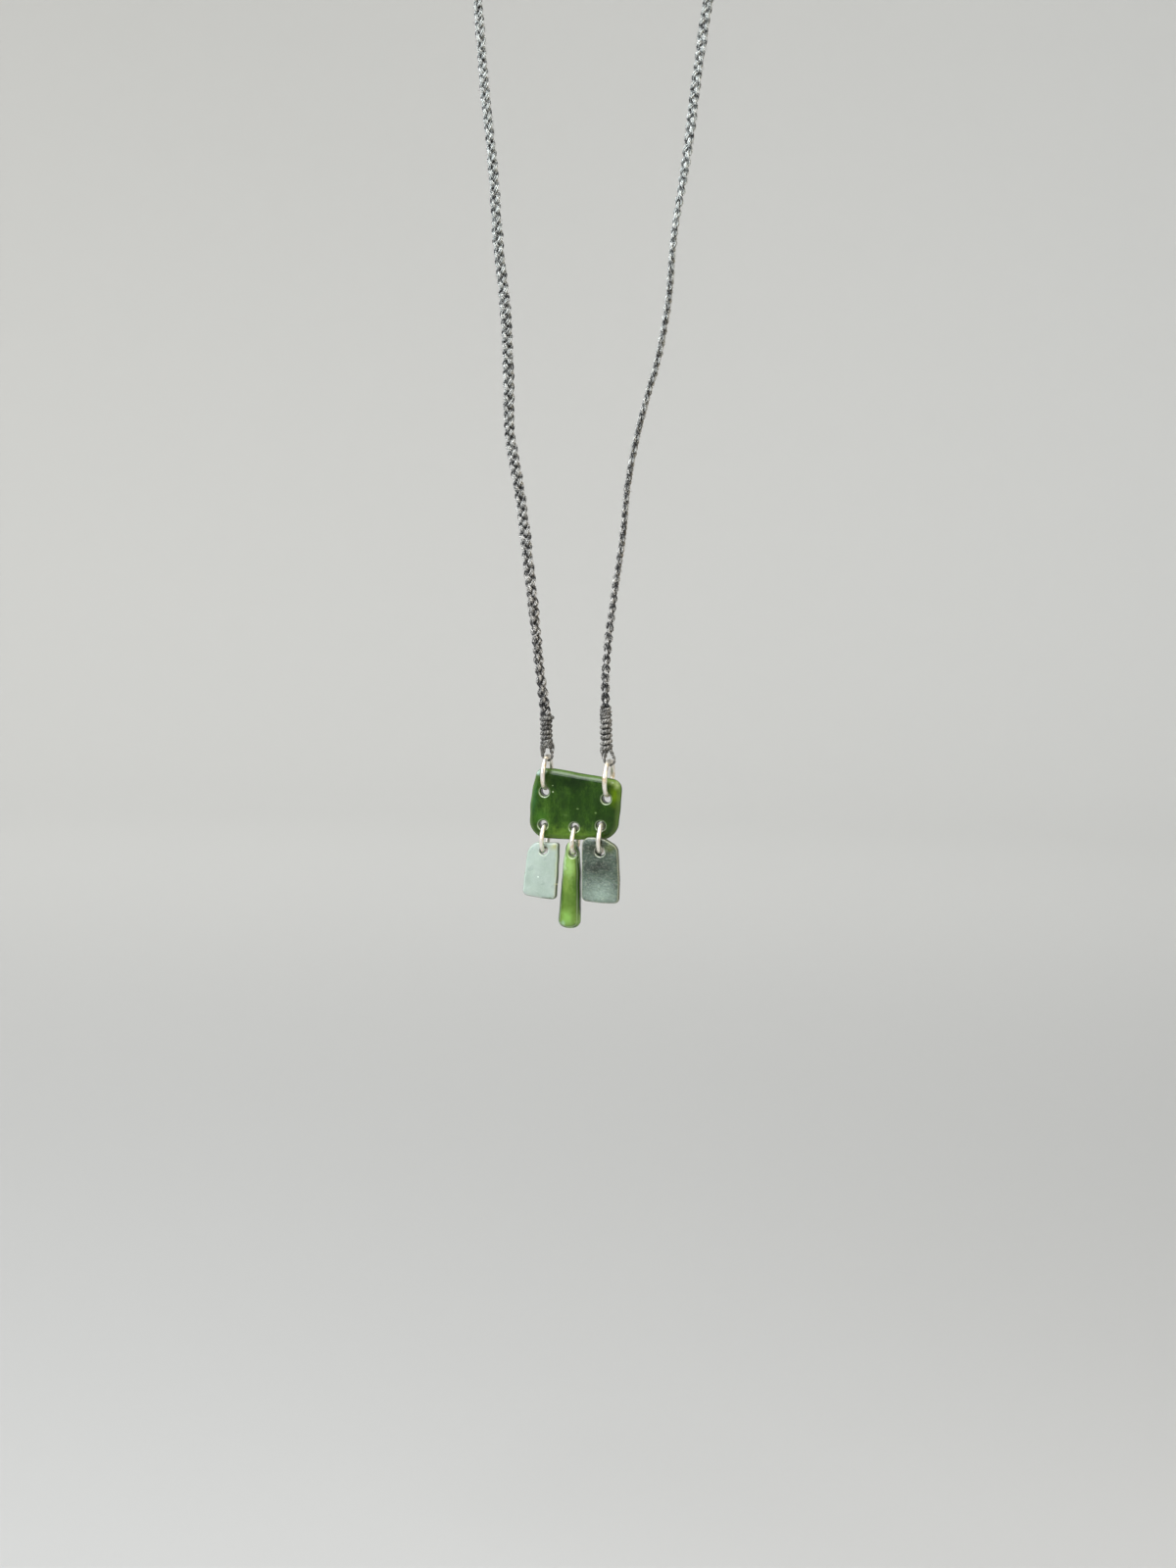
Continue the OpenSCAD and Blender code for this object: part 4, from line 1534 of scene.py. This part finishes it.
@dataclass
class Studio:
    """A pale round studio with soft lights, and the camera at the photograph's angle."""

    floor_z: float = -0.45
    camera_at: tuple[float, float, float] = (0.140824, -0.554698, -0.192490)
    azimuth: float = 14.0
    elevation: float = 6.0
    roll: float = 1.35
    lens_mm: float = 60.0
    film_mm: float = 36.0
    air: float = 0.3
    # The wall's distance and height, and the radius of the curve at its foot
    wall_r: float = 2.5
    wall_z: float = 2.6
    cove_r: float = 0.9

    def backdrop(self) -> None:
        """A floor that curves up into a wall all round: a turned profile, open at the top."""
        bend = np.linspace(0, math.pi / 2, 13)
        curve = self.wall_r - self.cove_r * (1 - np.sin(bend))
        radius = np.concatenate([[0.01, 0.8], curve, [self.wall_r]])
        height = np.concatenate([[0, 0], self.cove_r * (1 - np.cos(bend)), [self.wall_z]])
        bowl = lathe(radius / MM, (height + self.floor_z) / MM, 96)
        bowl.faces = [face[::-1] for face in bowl.faces[:-1]]
        floor = bowl.made("studio_floor")
        material, _, shader = new_material("pale_paper")
        fill(shader, {"Base Color": "#c4c4c1", "Roughness": 0.9})
        floor.data.materials.append(material)

    def light(
        self,
        name: str,
        at: tuple[float, float, float],
        size: tuple[float, float],
        watts: float,
        colour: str,
        spread: float,
        target: tuple[float, float, float] = (0.0, 0.0, -0.2),
    ) -> None:
        """A rectangular soft light.

        Args:
            name: The light's name.
            at: Where it stands, in metres.
            size: Its width and height, in metres.
            watts: Its power.
            colour: Its sRGB hex colour.
            spread: Degrees over which its grid lets the light fan out.
            target: What it faces, in metres.
        """
        lamp = bpy.data.lights.new(name, "AREA")
        lamp.shape, lamp.size, lamp.size_y = "RECTANGLE", *size
        lamp.energy, lamp.color, lamp.spread = watts, linear(colour)[:3], math.radians(spread)
        holder = bpy.data.objects.new(name, lamp)
        bpy.context.scene.collection.objects.link(holder)
        way = unit(np.array(target) - np.array(at))
        holder.matrix_world = look_matrix(np.array(at), way, 0.0)
        holder.visible_camera = False

    def camera(self) -> None:
        """The photograph's camera: its place, its two angles and its roll."""
        az, el = math.radians(self.azimuth), math.radians(self.elevation)
        way = np.array([-math.sin(az) * math.cos(el), math.cos(az) * math.cos(el), -math.sin(el)])
        lens = bpy.data.cameras.new("camera")
        lens.lens, lens.sensor_width = self.lens_mm, self.film_mm
        lens.clip_start, lens.clip_end = 0.01, 20.0
        holder = bpy.data.objects.new("camera", lens)
        bpy.context.scene.collection.objects.link(holder)
        holder.matrix_world = look_matrix(np.array(self.camera_at), way, self.roll)
        bpy.context.scene.camera = holder

    def build(self) -> None:
        """Sets up the backdrop, the camera, the lights and the world."""
        self.backdrop()
        self.camera()
        self.light("top_light", (-0.15, -0.29, 0.55), (0.75, 0.36), 8.5, "#fafcff", 180)
        self.light("front_light", (-0.45, -1.1, 0.25), (0.8, 0.5), 2.6, "#f2f5ff", 80)
        self.light("right_light", (1.1, -0.35, 0.1), (0.25, 0.8), 1.5, "#ffe6c4", 110)
        self.light("left_light", (-1.1, -0.5, 0.0), (0.25, 0.8), 0.45, "#e2f0f6", 110)
        for side, x, y, watts in (
            ("back", -0.3, 1, 18), ("front", 0, -1, 7), ("left", -1, 0, 7), ("right", 1, 0, 7),
        ):
            at, wall = (x, 0.9 * y, 1.0), (2.3 * x, 2.3 * y, -0.4)
            self.light(f"{side}_wall_light", at, (2.2, 0.5), watts, "#ffffff", 150, wall)
        bpy.context.scene.view_settings.view_transform = "Standard"
        world = bpy.data.worlds.new("studio_air")
        world.use_nodes = True
        fill(world.node_tree.nodes["Background"], ("#e8ecef", self.air))
        bpy.context.scene.world = world


# The whole pendant


def build_cord() -> None:
    # Each yarn: dark, light, the colour of its painted glints, and the painted light from above
    braid_yarn = Yarn("waxed_linen_braid", "#08090d", "#979690", "#fffdf6", "#a7b2af").build()
    thread = Yarn(
        "waxed_linen_thread", "#060606", "#565550", "#d8d6cd", "#565550", spin=0.7, lines=3.0
    ).build()
    left = Whipping("left", ROUTE[0], -3.0, 6.2, seed=31, loose_wrap=0.45, tone=0.16)
    right = Whipping("right", ROUTE[-1], -2.5, 6.9, seed=35, messy_turns=3.2)
    braid, fuzz = Braid(left, right).build(braid_yarn)
    bound = (
        left,
        right,
        ThreadEye("left", -6.85, 1.05, (-7.15, 5.4), seed=41),
        ThreadEye("right", 7.2, 1.15, (6.85, 4.3), seed=43),
        Frays(left, 130, (1.0, 3.3), 0.4, ring_x=0.2, clear=1.2, seed=51),
        Frays(right, 30, (0.5, 2.4), 0.5, ring_x=0.65, clear=0.6, seed=52),
    )
    parts = [fuzz, *(part.build(thread) for part in bound)]


def main() -> None:
    """Builds the studio, the cord, the rings and the stones in order."""
    logging.basicConfig(level=logging.INFO, format="%(name)s %(message)s")
    Studio().build()
    build_cord()
    wire = Wire().build()
    for ring in RINGS:
        ring.build(wire)
    for stone in STONES:
        stone.build()


if __name__ == "__main__":
    main()
